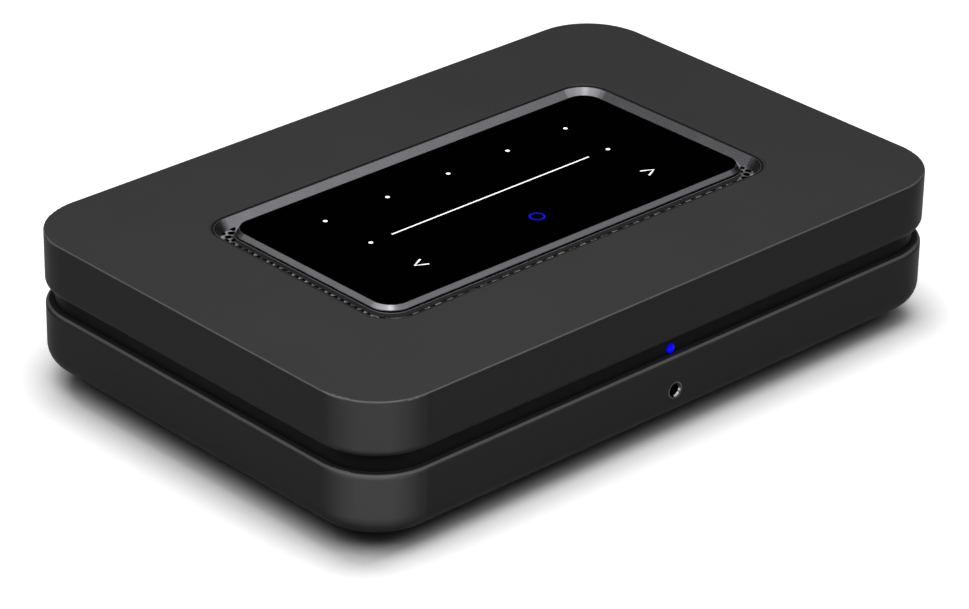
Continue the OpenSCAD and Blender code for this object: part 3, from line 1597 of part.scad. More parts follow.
upper_shell();
lower_shell();
mid_band();
rear_panel();
rubber_feet();
case_screws();
bezel_ring();
vent_grille();
touch_tray();
touch_frame();
touch_glass();
touch_icons();
play_ring();
light_mask();
touch_leds();
touch_board();
touch_flex();
front_board();
headphone_socket();
headphone_ferrule();
status_led();
status_light_pipe();
ir_receiver();
front_flex();
main_board();
board_screws();
processor();
thermal_pad();
heat_sink();
heat_sink_pins();
wireless_module();
antennas();
antenna_leads();
board_chips();
board_capacitors();
board_coils();
board_connectors();
phono_blocks();
phono_barrels();
phono_inserts();
rear_panel_screws();
optical_socket();
optical_shutter();
shutter_spring();
mini_sockets();
hdmi_socket();
usb_socket();
lan_socket();
mains_inlet();
inlet_pins();
inlet_leads();
power_board();
mains_filter();
power_capacitors();
power_transformer();
power_heat_sink();
power_harness();
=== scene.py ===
"""Looks of the network music streamer: finishes, small fittings, floor, light and camera."""

import json
import math

import bmesh
import bpy
from mathutils import Matrix, Vector


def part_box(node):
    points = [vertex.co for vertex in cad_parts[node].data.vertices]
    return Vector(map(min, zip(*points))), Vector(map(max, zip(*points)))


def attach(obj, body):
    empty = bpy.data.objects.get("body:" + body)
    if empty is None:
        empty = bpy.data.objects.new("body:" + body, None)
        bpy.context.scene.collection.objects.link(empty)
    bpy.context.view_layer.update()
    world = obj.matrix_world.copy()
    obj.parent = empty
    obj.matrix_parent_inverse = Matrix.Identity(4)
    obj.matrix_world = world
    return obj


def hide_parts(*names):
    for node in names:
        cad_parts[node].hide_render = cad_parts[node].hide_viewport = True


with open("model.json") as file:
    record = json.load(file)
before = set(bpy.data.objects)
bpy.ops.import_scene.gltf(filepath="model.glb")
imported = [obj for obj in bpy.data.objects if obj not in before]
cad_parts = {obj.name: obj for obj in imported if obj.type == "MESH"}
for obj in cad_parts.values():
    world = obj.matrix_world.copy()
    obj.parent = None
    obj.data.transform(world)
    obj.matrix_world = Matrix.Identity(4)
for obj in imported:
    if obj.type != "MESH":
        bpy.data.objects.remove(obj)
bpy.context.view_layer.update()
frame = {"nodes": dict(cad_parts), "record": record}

MM = 0.001
WHITE = (1.0, 1.0, 1.0, 1.0)


# Places of the sockets, from the frame, in millimetres
def box_mm(node):
    """A node's lowest and highest corners, and its middle."""
    low, high = (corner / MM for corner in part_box(node))
    return low, high, (low + high) / 2


MOUNTS = {mount["name"]: Vector(mount["pos_m"]) / MM for mount in frame["record"]["mounts"]}
PHONO_NAMES = ("line_out_right", "line_out_left", "subwoofer_out", "coaxial_out")
PHONO = [MOUNTS[name] for name in PHONO_NAMES]
MINI = [MOUNTS[name] for name in ("aux_in", "infrared_in", "trigger_out")]
PHONE = MOUNTS["headphone_socket"]
FACE_Y = box_mm("lan_socket")[1].y
PIPE_R = 1.3
STATUS_Z = box_mm("status_light_pipe")[1].z - PIPE_R


# Shader sums
class Wire:
    """A shader output that takes part in Python sums."""

    def __init__(self, finish, socket):
        self.finish = finish
        self.socket = socket

    def sum(self, operation, first, second):
        return self.finish.node("ShaderNodeMath", {"operation": operation}, {0: first, 1: second})

    def __add__(self, other):
        return self.sum("ADD", self, other)

    def __radd__(self, other):
        return self.sum("ADD", other, self)

    def __sub__(self, other):
        return self.sum("SUBTRACT", self, other)

    def __rsub__(self, other):
        return self.sum("SUBTRACT", other, self)

    def __mul__(self, other):
        return self.sum("MULTIPLY", self, other)

    def __pow__(self, other):
        return self.sum("POWER", self, other)

    def __gt__(self, other):
        return self.sum("GREATER_THAN", self, other)

    def __lt__(self, other):
        return self.sum("LESS_THAN", self, other)

    def __abs__(self):
        return self.sum("ABSOLUTE", self, 0.0)

    def at_least(self, other):
        return self.sum("MAXIMUM", self, other)

    def at_most(self, other):
        return self.sum("MINIMUM", self, other)


class Finish:
    """A material in the making."""

    def __init__(self, name, tree=None):
        if tree is None:
            self.material = bpy.data.materials.new(name)
            self.material.use_nodes = True
            tree = self.material.node_tree
        self.tree = tree
        self.tree.nodes.clear()

    def node(self, kind, settings=None, sockets=None, out=0):
        """Adds a node, with its settings and its sockets' values or links; gives one output."""
        made = self.tree.nodes.new(kind)
        for key, value in (settings or {}).items():
            if key == "stops":
                self.set_stops(made.color_ramp, value)
            else:
                setattr(made, key, value)
        for key, value in (sockets or {}).items():
            if isinstance(value, Wire):
                self.tree.links.new(value.socket, made.inputs[key])
            else:
                made.inputs[key].default_value = value
        return Wire(self, made.outputs[out]) if made.outputs else None

    @staticmethod
    def set_stops(ramp, stops):
        while len(ramp.elements) > len(stops):
            ramp.elements.remove(ramp.elements[-1])
        while len(ramp.elements) < len(stops):
            ramp.elements.new(1.0)
        for element, (place, colour) in zip(ramp.elements, stops):
            element.position = place
            element.color = colour

    def place(self):
        return self.node("ShaderNodeTexCoord", out="Object")

    def axes(self, vector):
        made = self.node("ShaderNodeSeparateXYZ", sockets={0: vector})
        return [Wire(self, made.socket.node.outputs[i]) for i in range(3)]

    def stretched(self, scale):
        sockets = {0: self.place(), 1: scale}
        return self.node("ShaderNodeVectorMath", {"operation": "MULTIPLY"}, sockets)

    def noise(self, size, detail=2.0, stretch=None):
        vector = self.stretched(stretch) if stretch else self.place()
        sockets = {"Vector": vector, "Scale": 1 / size, "Detail": detail}
        return self.node("ShaderNodeTexNoise", sockets=sockets)

    def cells(self, size, feature="F1"):
        sockets = {"Vector": self.place(), "Scale": 1 / size}
        return self.node("ShaderNodeTexVoronoi", {"feature": feature}, sockets, "Distance")

    def blend(self, share, first, second):
        """A colour between two colours."""
        sockets = {0: share, 6: first, 7: second}
        return self.node("ShaderNodeMix", {"data_type": "RGBA"}, sockets, 2)

    def span(self, value, low, high, to_low=0.0, to_high=1.0):
        """The value's place between two limits, held at both ends."""
        sockets = {0: value, 1: low, 2: high, 3: to_low, 4: to_high}
        return self.node("ShaderNodeMapRange", sockets=sockets)

    def normal(self):
        return self.node("ShaderNodeNewGeometry", out="Normal")

    def facing(self):
        """The three parts of the surface's normal."""
        return self.axes(self.normal())

    def edge(self, reach):
        """How near a point lies to a sharp edge, from 0 to 1."""
        rounded = self.node("ShaderNodeBevel", {"samples": 4}, {"Radius": reach})
        sockets = {0: rounded, 1: self.normal()}
        same = self.node("ShaderNodeVectorMath", {"operation": "DOT_PRODUCT"}, sockets, "Value")
        return self.span(1 - same, 0.0, 0.25)

    def bump(self, height, depth):
        sockets = {"Strength": 1.0, "Distance": depth, "Height": height}
        return self.node("ShaderNodeBump", sockets=sockets)

    def surface(self, **sockets):
        """Ends the finish with the main shader; sockets have underscores for blanks."""
        sockets = {key.replace("_", " "): value for key, value in sockets.items()}
        shader = self.node("ShaderNodeBsdfPrincipled", sockets=sockets)
        self.node("ShaderNodeOutputMaterial", sockets={"Surface": shader})
        return self.material


def tone(red, green=None, blue=None):
    """A colour from its usual 0 to 255 values."""
    values = (red, red if green is None else green, red if blue is None else blue)
    linear = [((v / 255 + 0.055) / 1.055) ** 2.4 if v > 10 else v / 255 / 12.92 for v in values]
    return (*linear, 1.0)


# Finishes: noise lies around 0.5, and a span picks the part of it that shows
def moulded(name, dark, light, gloss, grain, depth, shine=0.5, worn=None, wear=0.0):
    """Moulded plastic: a faint cloud in its tone, spark-eroded grain, and edges rubbed paler."""
    f = Finish(name)
    cloud = f.noise(24 * MM, detail=3.0)
    fine = f.noise(grain, detail=3.0)
    colour = f.blend(f.span(cloud * 0.7 + fine * 0.3, 0.3, 0.7), dark, light)
    rough = gloss + (cloud - 0.5) * 0.08 + (fine - 0.5) * 0.10
    if worn:
        patches = f.span(f.noise(6 * MM, detail=4.0), 0.3, 0.7, 0.4, 1.0)
        rubbed = f.edge(0.5 * MM) * patches * wear
        colour = f.blend(rubbed, colour, worn)
        rough = rough - rubbed * 0.08
    return f.surface(Base_Color=colour, Roughness=rough, Specular_IOR_Level=shine,
                     Normal=f.bump(fine, depth))


def blasted(name, dark, light, gloss, grain=0.22 * MM, depth=0.004 * MM, stretch=None, front=None):
    """Metal with a blasted or drawn skin: fine pits, and patches that differ a little in gloss.

    A front tone is painted shade on a bevel which faces the front.
    """
    f = Finish(name)
    cloud = f.noise(9 * MM, detail=3.0)
    pits = f.noise(grain, stretch=stretch)
    colour = f.blend(f.span(cloud * 0.5 + pits * 0.5, 0.3, 0.7), dark, light)
    # painted shade: the front tone darkens the bevel where it faces the front
    if front:
        colour = f.blend(f.span(f.facing()[1], -0.5, -0.66), colour, front)
    rough = gloss + (cloud - 0.5) * 0.10 + (pits - 0.5) * 0.12
    return f.surface(Base_Color=colour, Roughness=rough, Metallic=1.0, Normal=f.bump(pits, depth))


CASE_TONES = 57, 60
CASE_GLOSS, CASE_SHINE = 0.5, 0.034
# Painted shade at two upright corners of the case, painted highlights at the other two and on rims
PAINTED_SHADE_CORNER_TONE, PAINTED_SHADE_CORNER_SPAN = 24, (-0.02, -0.36)
PAINTED_HIGHLIGHT_TONE, PAINTED_CORNER_HIGHLIGHT_SPAN = 118, (0.04, 0.48)
PAINTED_RIM_HIGHLIGHT = 0.7


def case_plastic(name, corner_highlight, rim_span, shade, shaded, shade_top):
    """Matt case plastic, with painted highlights at two upright corners and on its rims, and
    painted shade at the other two corners.

    A rim faces up by an amount within the four steps of rim_span: its painted highlight fades in
    over the first two and out over the last two. What faces up by an amount within shaded, below
    shade_top, is painted dark, as painted shade in a groove or gap.
    """
    f = Finish(name)
    cloud = f.noise(30 * MM, detail=3.0)
    fine = f.noise(0.28 * MM, detail=3.0)
    across, along, up = f.facing()
    height = f.axes(f.place())[2]
    low_tone, high_tone = (tone(value) for value in CASE_TONES)
    colour = f.blend(f.span(cloud * 0.6 + fine * 0.4, 0.3, 0.7), low_tone, high_tone)
    # painted shade at the front-right and back-left upright corners
    colour = f.blend(f.span(across * along, *PAINTED_SHADE_CORNER_SPAN), colour, tone(PAINTED_SHADE_CORNER_TONE))
    # painted highlight at the front-left and back-right upright corners
    corner = f.span(across * along - along * 0.04, *PAINTED_CORNER_HIGHLIGHT_SPAN) * corner_highlight
    # painted highlight on the rims, which face up by an amount within rim_span
    rim = f.span(up, rim_span[0], rim_span[1]) * f.span(up, rim_span[3], rim_span[2])
    rim = rim * f.span(f.noise(9 * MM, detail=3.0), 0.2, 0.7, 0.8, 1.0) * PAINTED_RIM_HIGHLIGHT
    colour = f.blend(f.span(corner + rim, 0.0, 1.0), colour, tone(PAINTED_HIGHLIGHT_TONE))
    # painted shade in a groove or gap
    dark = (up > shaded[0]) * (up < shaded[1]) * (height < shade_top)
    colour = f.blend(dark, colour, shade)
    rough = CASE_GLOSS + (cloud - 0.5) * 0.08 + (fine - 0.5) * 0.10 - rim * 0.1
    return f.surface(Base_Color=colour, Roughness=rough, Specular_IOR_Level=CASE_SHINE,
                     Normal=f.bump(fine, 0.004 * MM))


def ferrule_metal(name):
    """Turned ferrule: blackened, with a painted highlight of bright nickel, low right, where its
    countersink faces up and to the left.
    """
    f = Finish(name)
    rings = f.noise(0.4 * MM, stretch=DRAWN)
    across, along, up = f.facing()
    to_upper_left = up * 0.77 - across * 0.64
    # painted highlight: bright nickel where the countersink faces up and to the left
    rubbed = f.span(to_upper_left, 0.49, 0.63) * f.span(abs(along), 0.4, 0.6)
    nickel = f.blend(f.span(rings, 0.3, 0.7), tone(226), tone(242))
    colour = f.blend(rubbed, f.blend(rings, tone(40), tone(54)), nickel)
    return f.surface(Base_Color=colour, Roughness=0.26 + (rings - 0.5) * 0.1, Metallic=1.0,
                     Normal=f.bump(rings, 0.002 * MM))


def perforated(name, dark, light):
    """Coated sheet, paler in random patches, with painted shade, near black, on the walls of its
    punched holes.
    """
    f = Finish(name)
    patch = f.noise(1.5 * MM)
    pits = f.noise(0.22 * MM)
    flat = f.span(f.facing()[2], 0.6, 0.9)
    colour = f.blend(f.span(patch * 0.8 + pits * 0.2, 0.4, 0.62), dark, light)
    # painted shade: near black on what does not face up, the walls of the holes
    colour = f.blend(flat, tone(5), colour)
    return f.surface(Base_Color=colour, Roughness=0.45 + (pits - 0.5) * 0.12, Metallic=flat * 0.3,
                     Specular_IOR_Level=0.2, Normal=f.bump(pits, 0.004 * MM))


# Heights from the frame's seat of the lip's painted highlight and the neck's painted shade
LIP_HIGHLIGHT_LOW, LIP_HIGHLIGHT_FULL = -0.64 * MM, -0.58 * MM
NECK_SHADE_LOW, NECK_SHADE_FULL = -0.43 * MM, -0.42 * MM


def tray_plastic(name, seat):
    """The tray under the touch panel: a grey flange with a painted highlight on its lip, and
    painted shade, black, on the neck above it.

    The lip and the neck are given by their heights from the seat of the panel's frame.
    """
    f = Finish(name)
    fine = f.noise(0.35 * MM, detail=3.0)
    height = f.axes(f.place())[2] - seat
    colour = f.blend(f.span(fine, 0.3, 0.7), tone(60), tone(72))
    # painted highlight on the lip
    colour = f.blend(f.span(height, LIP_HIGHLIGHT_LOW, LIP_HIGHLIGHT_FULL), colour, tone(156))
    # painted shade, black, on the neck and on the flange's top under the frame
    colour = f.blend(f.span(height, NECK_SHADE_LOW, NECK_SHADE_FULL), colour, tone(3))
    return f.surface(Base_Color=colour, Roughness=0.5 + (fine - 0.5) * 0.1, Specular_IOR_Level=0.2,
                     Normal=f.bump(fine, 0.01 * MM))


def glass(name):
    """Black touch glass with faint wiping marks in its gloss."""
    f = Finish(name)
    smear = f.noise(14 * MM, detail=4.0, stretch=(1.0, 3.0, 1.0))
    dust = f.noise(0.8 * MM)
    colour = f.blend(f.span(dust, 0.62, 0.8), tone(0), tone(2))
    rough = 0.06 + f.span(smear, 0.45, 0.75) * 0.05
    return f.surface(Base_Color=colour, Roughness=rough, Specular_IOR_Level=0.006)


def glowing(name, colour, deep, body, reach):
    """A lit icon, a little deeper in tone where the diffuser is thick."""
    f = Finish(name)
    haze = f.noise(reach)
    light = f.blend(f.span(haze, 0.3, 0.7), colour, deep)
    rough = 0.35 + (haze - 0.5) * 0.2
    return f.surface(Base_Color=body, Roughness=rough, Specular_IOR_Level=0.2,
                     Emission_Color=light, Emission_Strength=1.0)


def light_guide(name, height):
    """The end of the status light's guide: a clear rim round a deeper middle."""
    f = Finish(name)
    across, _, up = f.axes(f.place())
    reach = (across * across + (up - height) ** 2.0) ** 0.5
    haze = f.noise(0.5 * MM)
    share = f.span(reach + (haze - 0.5) * 0.2 * MM, 0.2 * MM, 1.1 * MM)
    light = f.blend(share, tone(0, 0, 200), tone(2, 4, 255))
    return f.surface(Base_Color=UNLIT_BLUE, Roughness=0.3 + haze * 0.1, Specular_IOR_Level=0.04,
                     Emission_Color=light, Emission_Strength=1.0)


def laminate(name, field, track, copper):
    """Circuit board: lacquer over tracks, with bare pads."""
    f = Finish(name)
    cells = f.cells(3.4 * MM, "DISTANCE_TO_EDGE")
    lanes = f.node("ShaderNodeTexWave", {"wave_type": "BANDS", "bands_direction": "DIAGONAL"},
                   {"Vector": f.place(), "Scale": 260.0, "Distortion": 2.0}, "Fac")
    tracks = (cells < 0.09) + (lanes > 0.86)
    pads = f.cells(4.6 * MM) < 0.14
    weave = f.noise(0.5 * MM)
    lacquer = f.blend(f.span(tracks, 0.0, 1.0), field, track)
    colour = f.blend(pads, f.blend(weave * 0.15, lacquer, copper), copper)
    rough = 0.34 + (weave - 0.5) * 0.12
    height = f.span(tracks, 0.0, 1.0) * 0.6 + pads + weave * 0.1
    return f.surface(Base_Color=colour, Roughness=rough, Metallic=pads * 0.9,
                     Normal=f.bump(height, 0.03 * MM))


def rubber(name, dark, light, size):
    """Soft rubber with a pebbled skin and a dusty bloom."""
    f = Finish(name)
    pebbles = f.cells(size)
    bloom = f.noise(7 * MM, detail=4.0)
    colour = f.blend(f.span(bloom, 0.35, 0.75), dark, light)
    rough = 0.78 + (bloom - 0.5) * 0.16
    return f.surface(Base_Color=colour, Roughness=rough, Specular_IOR_Level=0.25,
                     Normal=f.bump(pebbles, 0.02 * MM))


def sleeve(name, field, rubbed, gloss, band):
    """Shrunk or wound film: faint turns along its height and a paler rub."""
    f = Finish(name)
    height = f.axes(f.place())[2]
    turns = f.node("ShaderNodeMath", {"operation": "PINGPONG"}, {0: height, 1: band})
    ridge = f.span(turns, 0.0, band)
    rub = f.noise(3 * MM, detail=4.0)
    colour = f.blend(f.span(rub, 0.45, 0.8) * 0.5 + ridge * 0.12, field, rubbed)
    rough = gloss + (rub - 0.5) * 0.16
    return f.surface(Base_Color=colour, Roughness=rough, Normal=f.bump(ridge, 0.05 * MM))


def socket_colours(name):
    """Insulators of the phono sockets, coded by colour along the row."""
    f = Finish(name)
    across = f.axes(f.place())[0]
    fine = f.noise(0.3 * MM)
    borders = [(a.x + b.x) / 2 * MM for a, b in zip(PHONO, PHONO[1:])]
    colour = f.blend(across > borders[0], tone(232, 230, 224), tone(176, 24, 22))
    colour = f.blend(across < borders[1], colour, tone(34, 34, 36))
    colour = f.blend(across < borders[2], colour, tone(214, 112, 20))
    colour = f.blend(fine * 0.12, colour, tone(20))
    rough = 0.38 + (fine - 0.5) * 0.14
    return f.surface(Base_Color=colour, Roughness=rough, Normal=f.bump(fine, 0.006 * MM))


DRAWN, LONG_DRAWN = (1, 0.1, 1), (1, 0.05, 1)
SATIN = tone(182, 180, 187), tone(208, 206, 212), 0.23
UNLIT_BLUE = tone(4, 4, 40)
BEZEL_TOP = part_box("bezel_ring")[1].z
BAND_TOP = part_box("mid_band")[1].z
FRAME_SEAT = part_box("touch_frame")[0].z

FINISHES = {
    # painted highlights at two corners and on its rims, painted shade in a line round the bezel
    "shell_plastic": case_plastic(
        "shell_plastic", corner_highlight=0.75, rim_span=(0.3, 0.55, 0.86, 0.91), shade=tone(28),
        shaded=(0.915, 0.932), shade_top=BEZEL_TOP + 0.2 * MM),
    "band_plastic": moulded(
        "band_plastic", tone(35), tone(38), 0.6, 0.3 * MM, 0.003 * MM, shine=0.04),
    "panel_plastic": moulded(
        "panel_plastic", tone(26), tone(30), 0.55, 0.45 * MM, 0.012 * MM, 0.3, tone(58), 0.3),
    "black_plastic": moulded(
        "black_plastic", tone(22), tone(27), 0.42, 0.4 * MM, 0.008 * MM, 0.4, tone(52), 0.3),
    "white_plastic": moulded(
        "white_plastic", tone(214, 211, 200), tone(226, 224, 214), 0.4, 0.4 * MM, 0.006 * MM),
    "filter_case": moulded(
        "filter_case", tone(196, 158, 44), tone(214, 178, 70), 0.4, 0.4 * MM, 0.006 * MM),
    "satin_metal": blasted("satin_metal", *SATIN),
    "grille_metal": perforated("grille_metal", tone(56), tone(166)),
    "zinc_steel": blasted("zinc_steel", tone(120, 122, 126), tone(160, 162, 166), 0.30),
    "nickel": blasted(
        "nickel", tone(176, 174, 170), tone(206, 204, 200), 0.22, 0.5 * MM, 0.002 * MM, DRAWN),
    "gold_plate": blasted(
        "gold_plate", tone(206, 160, 78), tone(232, 190, 104), 0.2, 0.4 * MM, 0.002 * MM, DRAWN),
    "aluminium": blasted(
        "aluminium", tone(150, 152, 156), tone(184, 186, 190), 0.38, 0.5 * MM, 0.01 * MM,
        LONG_DRAWN),
    "black_glass": glass("black_glass"),
    "icon_light": glowing("icon_light", tone(255), tone(236), tone(200), 1.2 * MM),
    "blue_light": glowing(
        "blue_light", tone(2, 2, 235), tone(4, 2, 190), UNLIT_BLUE, 1.5 * MM),
    "foot_rubber": rubber("foot_rubber", tone(20), tone(38), 0.7 * MM),
    "pad_rubber": rubber("pad_rubber", tone(112, 132, 150), tone(136, 154, 170), 0.5 * MM),
    "board_laminate": laminate(
        "board_laminate", tone(18, 66, 38), tone(30, 88, 52), tone(196, 150, 92)),
    "flat_cable": sleeve(
        "flat_cable", tone(206, 202, 188), tone(228, 226, 216), 0.42, 0.5 * MM),
    "antenna_film": sleeve(
        "antenna_film", tone(160, 98, 40), tone(196, 138, 70), 0.36, 2.0 * MM),
    "wire_cover": sleeve("wire_cover", tone(46, 44, 44), tone(74, 72, 70), 0.5, 1.2 * MM),
    "capacitor_sleeve": sleeve(
        "capacitor_sleeve", tone(32, 36, 58), tone(120, 124, 138), 0.3, 4.0 * MM),
    "transformer_tape": sleeve(
        "transformer_tape", tone(176, 148, 60), tone(206, 182, 104), 0.36, 1.6 * MM),
}
OWN_FINISHES = {
    "phono_inserts": socket_colours("socket_colours"),
    "status_light_pipe": light_guide("light_guide", STATUS_Z * MM),
    "headphone_ferrule": ferrule_metal("ferrule_metal"),
    # painted highlights at two corners and on its ledge's rim, painted shade on the ledge
    "lower_shell": case_plastic(
        "lower_plastic", corner_highlight=1.0, rim_span=(0.52, 0.7, 0.95, 0.985), shade=tone(44),
        shaded=(0.985, 1.1), shade_top=BAND_TOP),
    # painted shade on the frame's bevel where it faces the front
    "touch_frame": blasted("frame_metal", *SATIN, front=tone(142, 140, 146)),
    "touch_tray": tray_plastic("tray_plastic", FRAME_SEAT),
}

for name, node in frame["nodes"].items():
    for place in node.material_slots:
        slot = place.material.name.split(".")[0]
        place.material = OWN_FINISHES.get(name, FINISHES[slot])


# Fittings
class Fitting:
    """The mesh of a small fitting, given in millimetres."""

    def __init__(self):
        self.mesh = bmesh.new()

    def skin(self, rows, closed_rows, closed_columns):
        """Faces over a grid of points."""
        made = [[self.mesh.verts.new(Vector(p) * MM) for p in row] for row in rows]
        last_row = len(made) if closed_rows else len(made) - 1
        last_column = len(made[0]) if closed_columns else len(made[0]) - 1
        for i in range(last_row):
            for j in range(last_column):
                below = made[(i + 1) % len(made)]
                k = (j + 1) % len(made[0])
                self.mesh.faces.new((made[i][j], made[i][k], below[k], below[j]))
        return made

    def cap(self, rows):
        """Closes both ends of a skin."""
        self.mesh.faces.new(rows[0])
        self.mesh.faces.new(reversed(rows[-1]))

    @staticmethod
    def swung(at, profile, angle):
        """A profile of radius and depth, at an angle round an axis along Y through X and Z."""
        across, up = math.cos(angle), math.sin(angle)
        return [(at[0] + r * across, y, at[1] + r * up) for r, y in profile]

    def turned(self, at, profile, sides, first=0.0, sweep=360.0):
        """A closed profile of radius and depth, turned all or part of the way round."""
        whole = sweep == 360.0
        steps = sides if whole else sides + 1
        angles = [math.radians(first + sweep * i / sides) for i in range(steps)]
        made = self.skin([self.swung(at, profile, angle) for angle in angles], whole, True)
        if not whole:
            self.cap(made)

    def domed(self, at, profile, sides=40):
        """A profile of radius and depth that starts and ends on the axis, turned round it."""
        angles = [2 * math.pi * i / sides for i in range(sides)]
        self.skin([self.swung(at, profile, angle) for angle in angles], True, False)
        bmesh.ops.remove_doubles(self.mesh, verts=self.mesh.verts[:], dist=0.001 * MM)

    def wire(self, path, radius, sides=10):
        """A round wire along points in one upright plane across X."""
        out = Vector((1, 0, 0))
        turns = [2 * math.pi * k / sides for k in range(sides)]
        rows = []
        for i, point in enumerate(path):
            before, after = path[max(i - 1, 0)], path[min(i + 1, len(path) - 1)]
            up = (Vector(after) - Vector(before)).normalized().cross(out)
            ring = [(out * math.cos(t) + up * math.sin(t)) * radius for t in turns]
            rows.append([Vector(point) + step for step in ring])
        self.cap(self.skin(rows, False, True))

    def block(self, low, high, edge):
        """A block with rounded edges."""
        low, high = Vector(low) * MM, Vector(high) * MM
        place = Matrix.Translation((high + low) / 2) @ Matrix.Diagonal((*(high - low), 1))
        corners = bmesh.ops.create_cube(self.mesh, size=1.0, matrix=place)["verts"]
        edges = list(dict.fromkeys(e for v in corners for e in v.link_edges))
        bmesh.ops.bevel(self.mesh, geom=edges, offset=edge * MM, segments=3, profile=0.5,
                        affect="EDGES")

    def lining(self, outline, wall, back, front):
        """A thin sleeve along Y with a closed back, from an anticlockwise outline of X and Z."""
        inner = []
        count = len(outline)
        for i in range(count):
            a, b, c = (Vector(outline[(i + k) % count]) for k in (-1, 0, 1))
            into = [Vector((-(q - p).y, (q - p).x)).normalized() for p, q in ((a, b), (b, c))]
            inner.append(b + (into[0] + into[1]) * wall / (1 + into[0].dot(into[1])))
        lines = ((outline, back), (outline, front), (inner, front), (inner, back + wall))
        self.cap(self.skin([[(x, y, z) for x, z in line] for line, y in lines], False, True))

    def fit(self, name, finish, replaced=()):
        """Turns the mesh into a piece that rides on the case."""
        bmesh.ops.recalc_face_normals(self.mesh, faces=self.mesh.faces[:])
        data = bpy.data.meshes.new(name)
        self.mesh.to_mesh(data)
        self.mesh.free()
        data.shade_smooth()
        data.set_sharp_from_angle(angle=math.radians(35))
        data.materials.append(finish)
        piece = bpy.data.objects.new(name, data)
        bpy.context.scene.collection.objects.link(piece)
        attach(piece, "case")
        if replaced:
            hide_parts(*replaced)


RING_SIDES = 48


def fit_phono_contacts():
    """Four sprung leaves in the bore of each phono socket."""
    made = Fitting()
    end = box_mm("phono_inserts")[1].y
    leaf = [(1.55, end - 9.7), (1.55, end - 0.7), (1.46, end - 0.3), (1.34, end - 0.6),
            (1.28, end - 1.8), (1.38, end - 5.4), (1.38, end - 9.7)]
    leaf_count, leaf_sweep = 4, 66
    pitch = 360 / leaf_count
    for socket in PHONO:
        for k in range(leaf_count):
            first = pitch * k + (pitch - leaf_sweep) / 2
            made.turned((socket.x, socket.z), leaf, 10, first, leaf_sweep)
    made.fit("phono_contacts", FINISHES["gold_plate"])


def fit_mini_bushes():
    """A turned bush at the mouth of each 3.5 mm socket."""
    made = Fitting()
    bush = [(1.83, FACE_Y - 0.1), (1.83, FACE_Y + 0.06), (1.98, FACE_Y + 0.22),
            (2.36, FACE_Y + 0.24), (2.5, FACE_Y + 0.12), (2.52, FACE_Y - 0.1)]
    for socket in MINI:
        made.turned((socket.x, socket.z), bush, RING_SIDES)
    made.fit("mini_bushes", FINISHES["nickel"])


def fit_lan():
    """Liner, contact wires and light windows of the network socket."""
    base, _, middle = box_mm("lan_socket")
    low, high, latch = base.z + 2.11, base.z + 8.89, base.z + 11.29
    half, slot = 5.89, 3.09
    outline = [(-half, low), (half, low), (half, high), (slot, high),
               (slot, latch), (-slot, latch), (-slot, high), (-half, high)]
    wall, back, front = 0.22, FACE_Y - 12.98, FACE_Y - 0.12
    liner = Fitting()
    liner.lining([(middle.x + x, z) for x, z in outline], wall, back, front)
    liner.fit("lan_liner", FINISHES["black_plastic"])
    wire_count, wire_pitch, wire_r = 8, 1.02, 0.2
    path = ((1.3, 0.14), (1.7, 0.31), (2.4, 0.54), (6.4, 2.39), (9.8, 3.99), (11.0, 4.29),
            (12.6, 4.29))
    wires = Fitting()
    for i in range(wire_count):
        x = middle.x + (i - (wire_count - 1) / 2) * wire_pitch
        wires.wire([(x, FACE_Y - depth, low + rise) for depth, rise in path], wire_r)
    wires.fit("lan_contacts", FINISHES["gold_plate"])
    green, amber = tone(70, 128, 62), tone(190, 132, 40)
    light_x, light_half, light_low, light_high = 5.9, 1.5, base.z + 10.6, base.z + 12.6
    for name, side, colour in (("lan_light_left", -1, green), ("lan_light_right", 1, amber)):
        window = Fitting()
        x = middle.x + side * light_x
        window.block((x - light_half, FACE_Y - 0.2, light_low),
                     (x + light_half, FACE_Y + 0.22, light_high), 0.18)
        pale = [min(1.0, c * 1.25) for c in colour]
        lens = moulded(name, colour, pale, 0.2, 0.8 * MM, 0.003 * MM)
        window.fit(name, lens)


def fit_tongue(name, half_w, half_h, rows, width):
    """The moulded tongue of a data socket over its metal core, with its contact strips.

    Each row of strips has a side, 1 for the top or -1 for the bottom, and places across.
    """
    x, _, z = box_mm(name + "_socket")[2]
    front, back = FACE_Y - 0.92, FACE_Y - 10.04
    tongue = Fitting()
    tongue.block((x - half_w, back, z - half_h), (x + half_w, front, z + half_h), 0.14)
    tongue.fit(name + "_tongue", FINISHES["black_plastic"])
    half_t, edge = 0.06, 0.025
    strips = Fitting()
    for side, places in rows:
        level = z + side * half_h
        for place in places:
            middle = x + place
            strips.block((middle - width / 2, back + 1.4, level - half_t),
                         (middle + width / 2, front - 0.5, level + half_t), edge)
    strips.fit(name + "_contacts", FINISHES["gold_plate"])


def fit_optical_lens():
    """The emitter's lens at the back of the optical socket."""
    low, _, middle = box_mm("optical_socket")
    wall = FACE_Y - 12
    lens = [(0, wall + 0.8), (0.5, wall + 0.73), (0.95, wall + 0.5), (1.25, wall + 0.15),
            (1.32, wall), (1.9, wall), (2.2, wall - 0.08), (2.3, wall - 0.28), (0, wall - 0.28)]
    made = Fitting()
    made.domed((middle.x, low.z + 5.5), lens)
    red = moulded("optic_red", tone(96, 12, 10), tone(134, 20, 16), 0.15, 0.5 * MM, 0.002 * MM)
    made.fit("optical_lens", red)


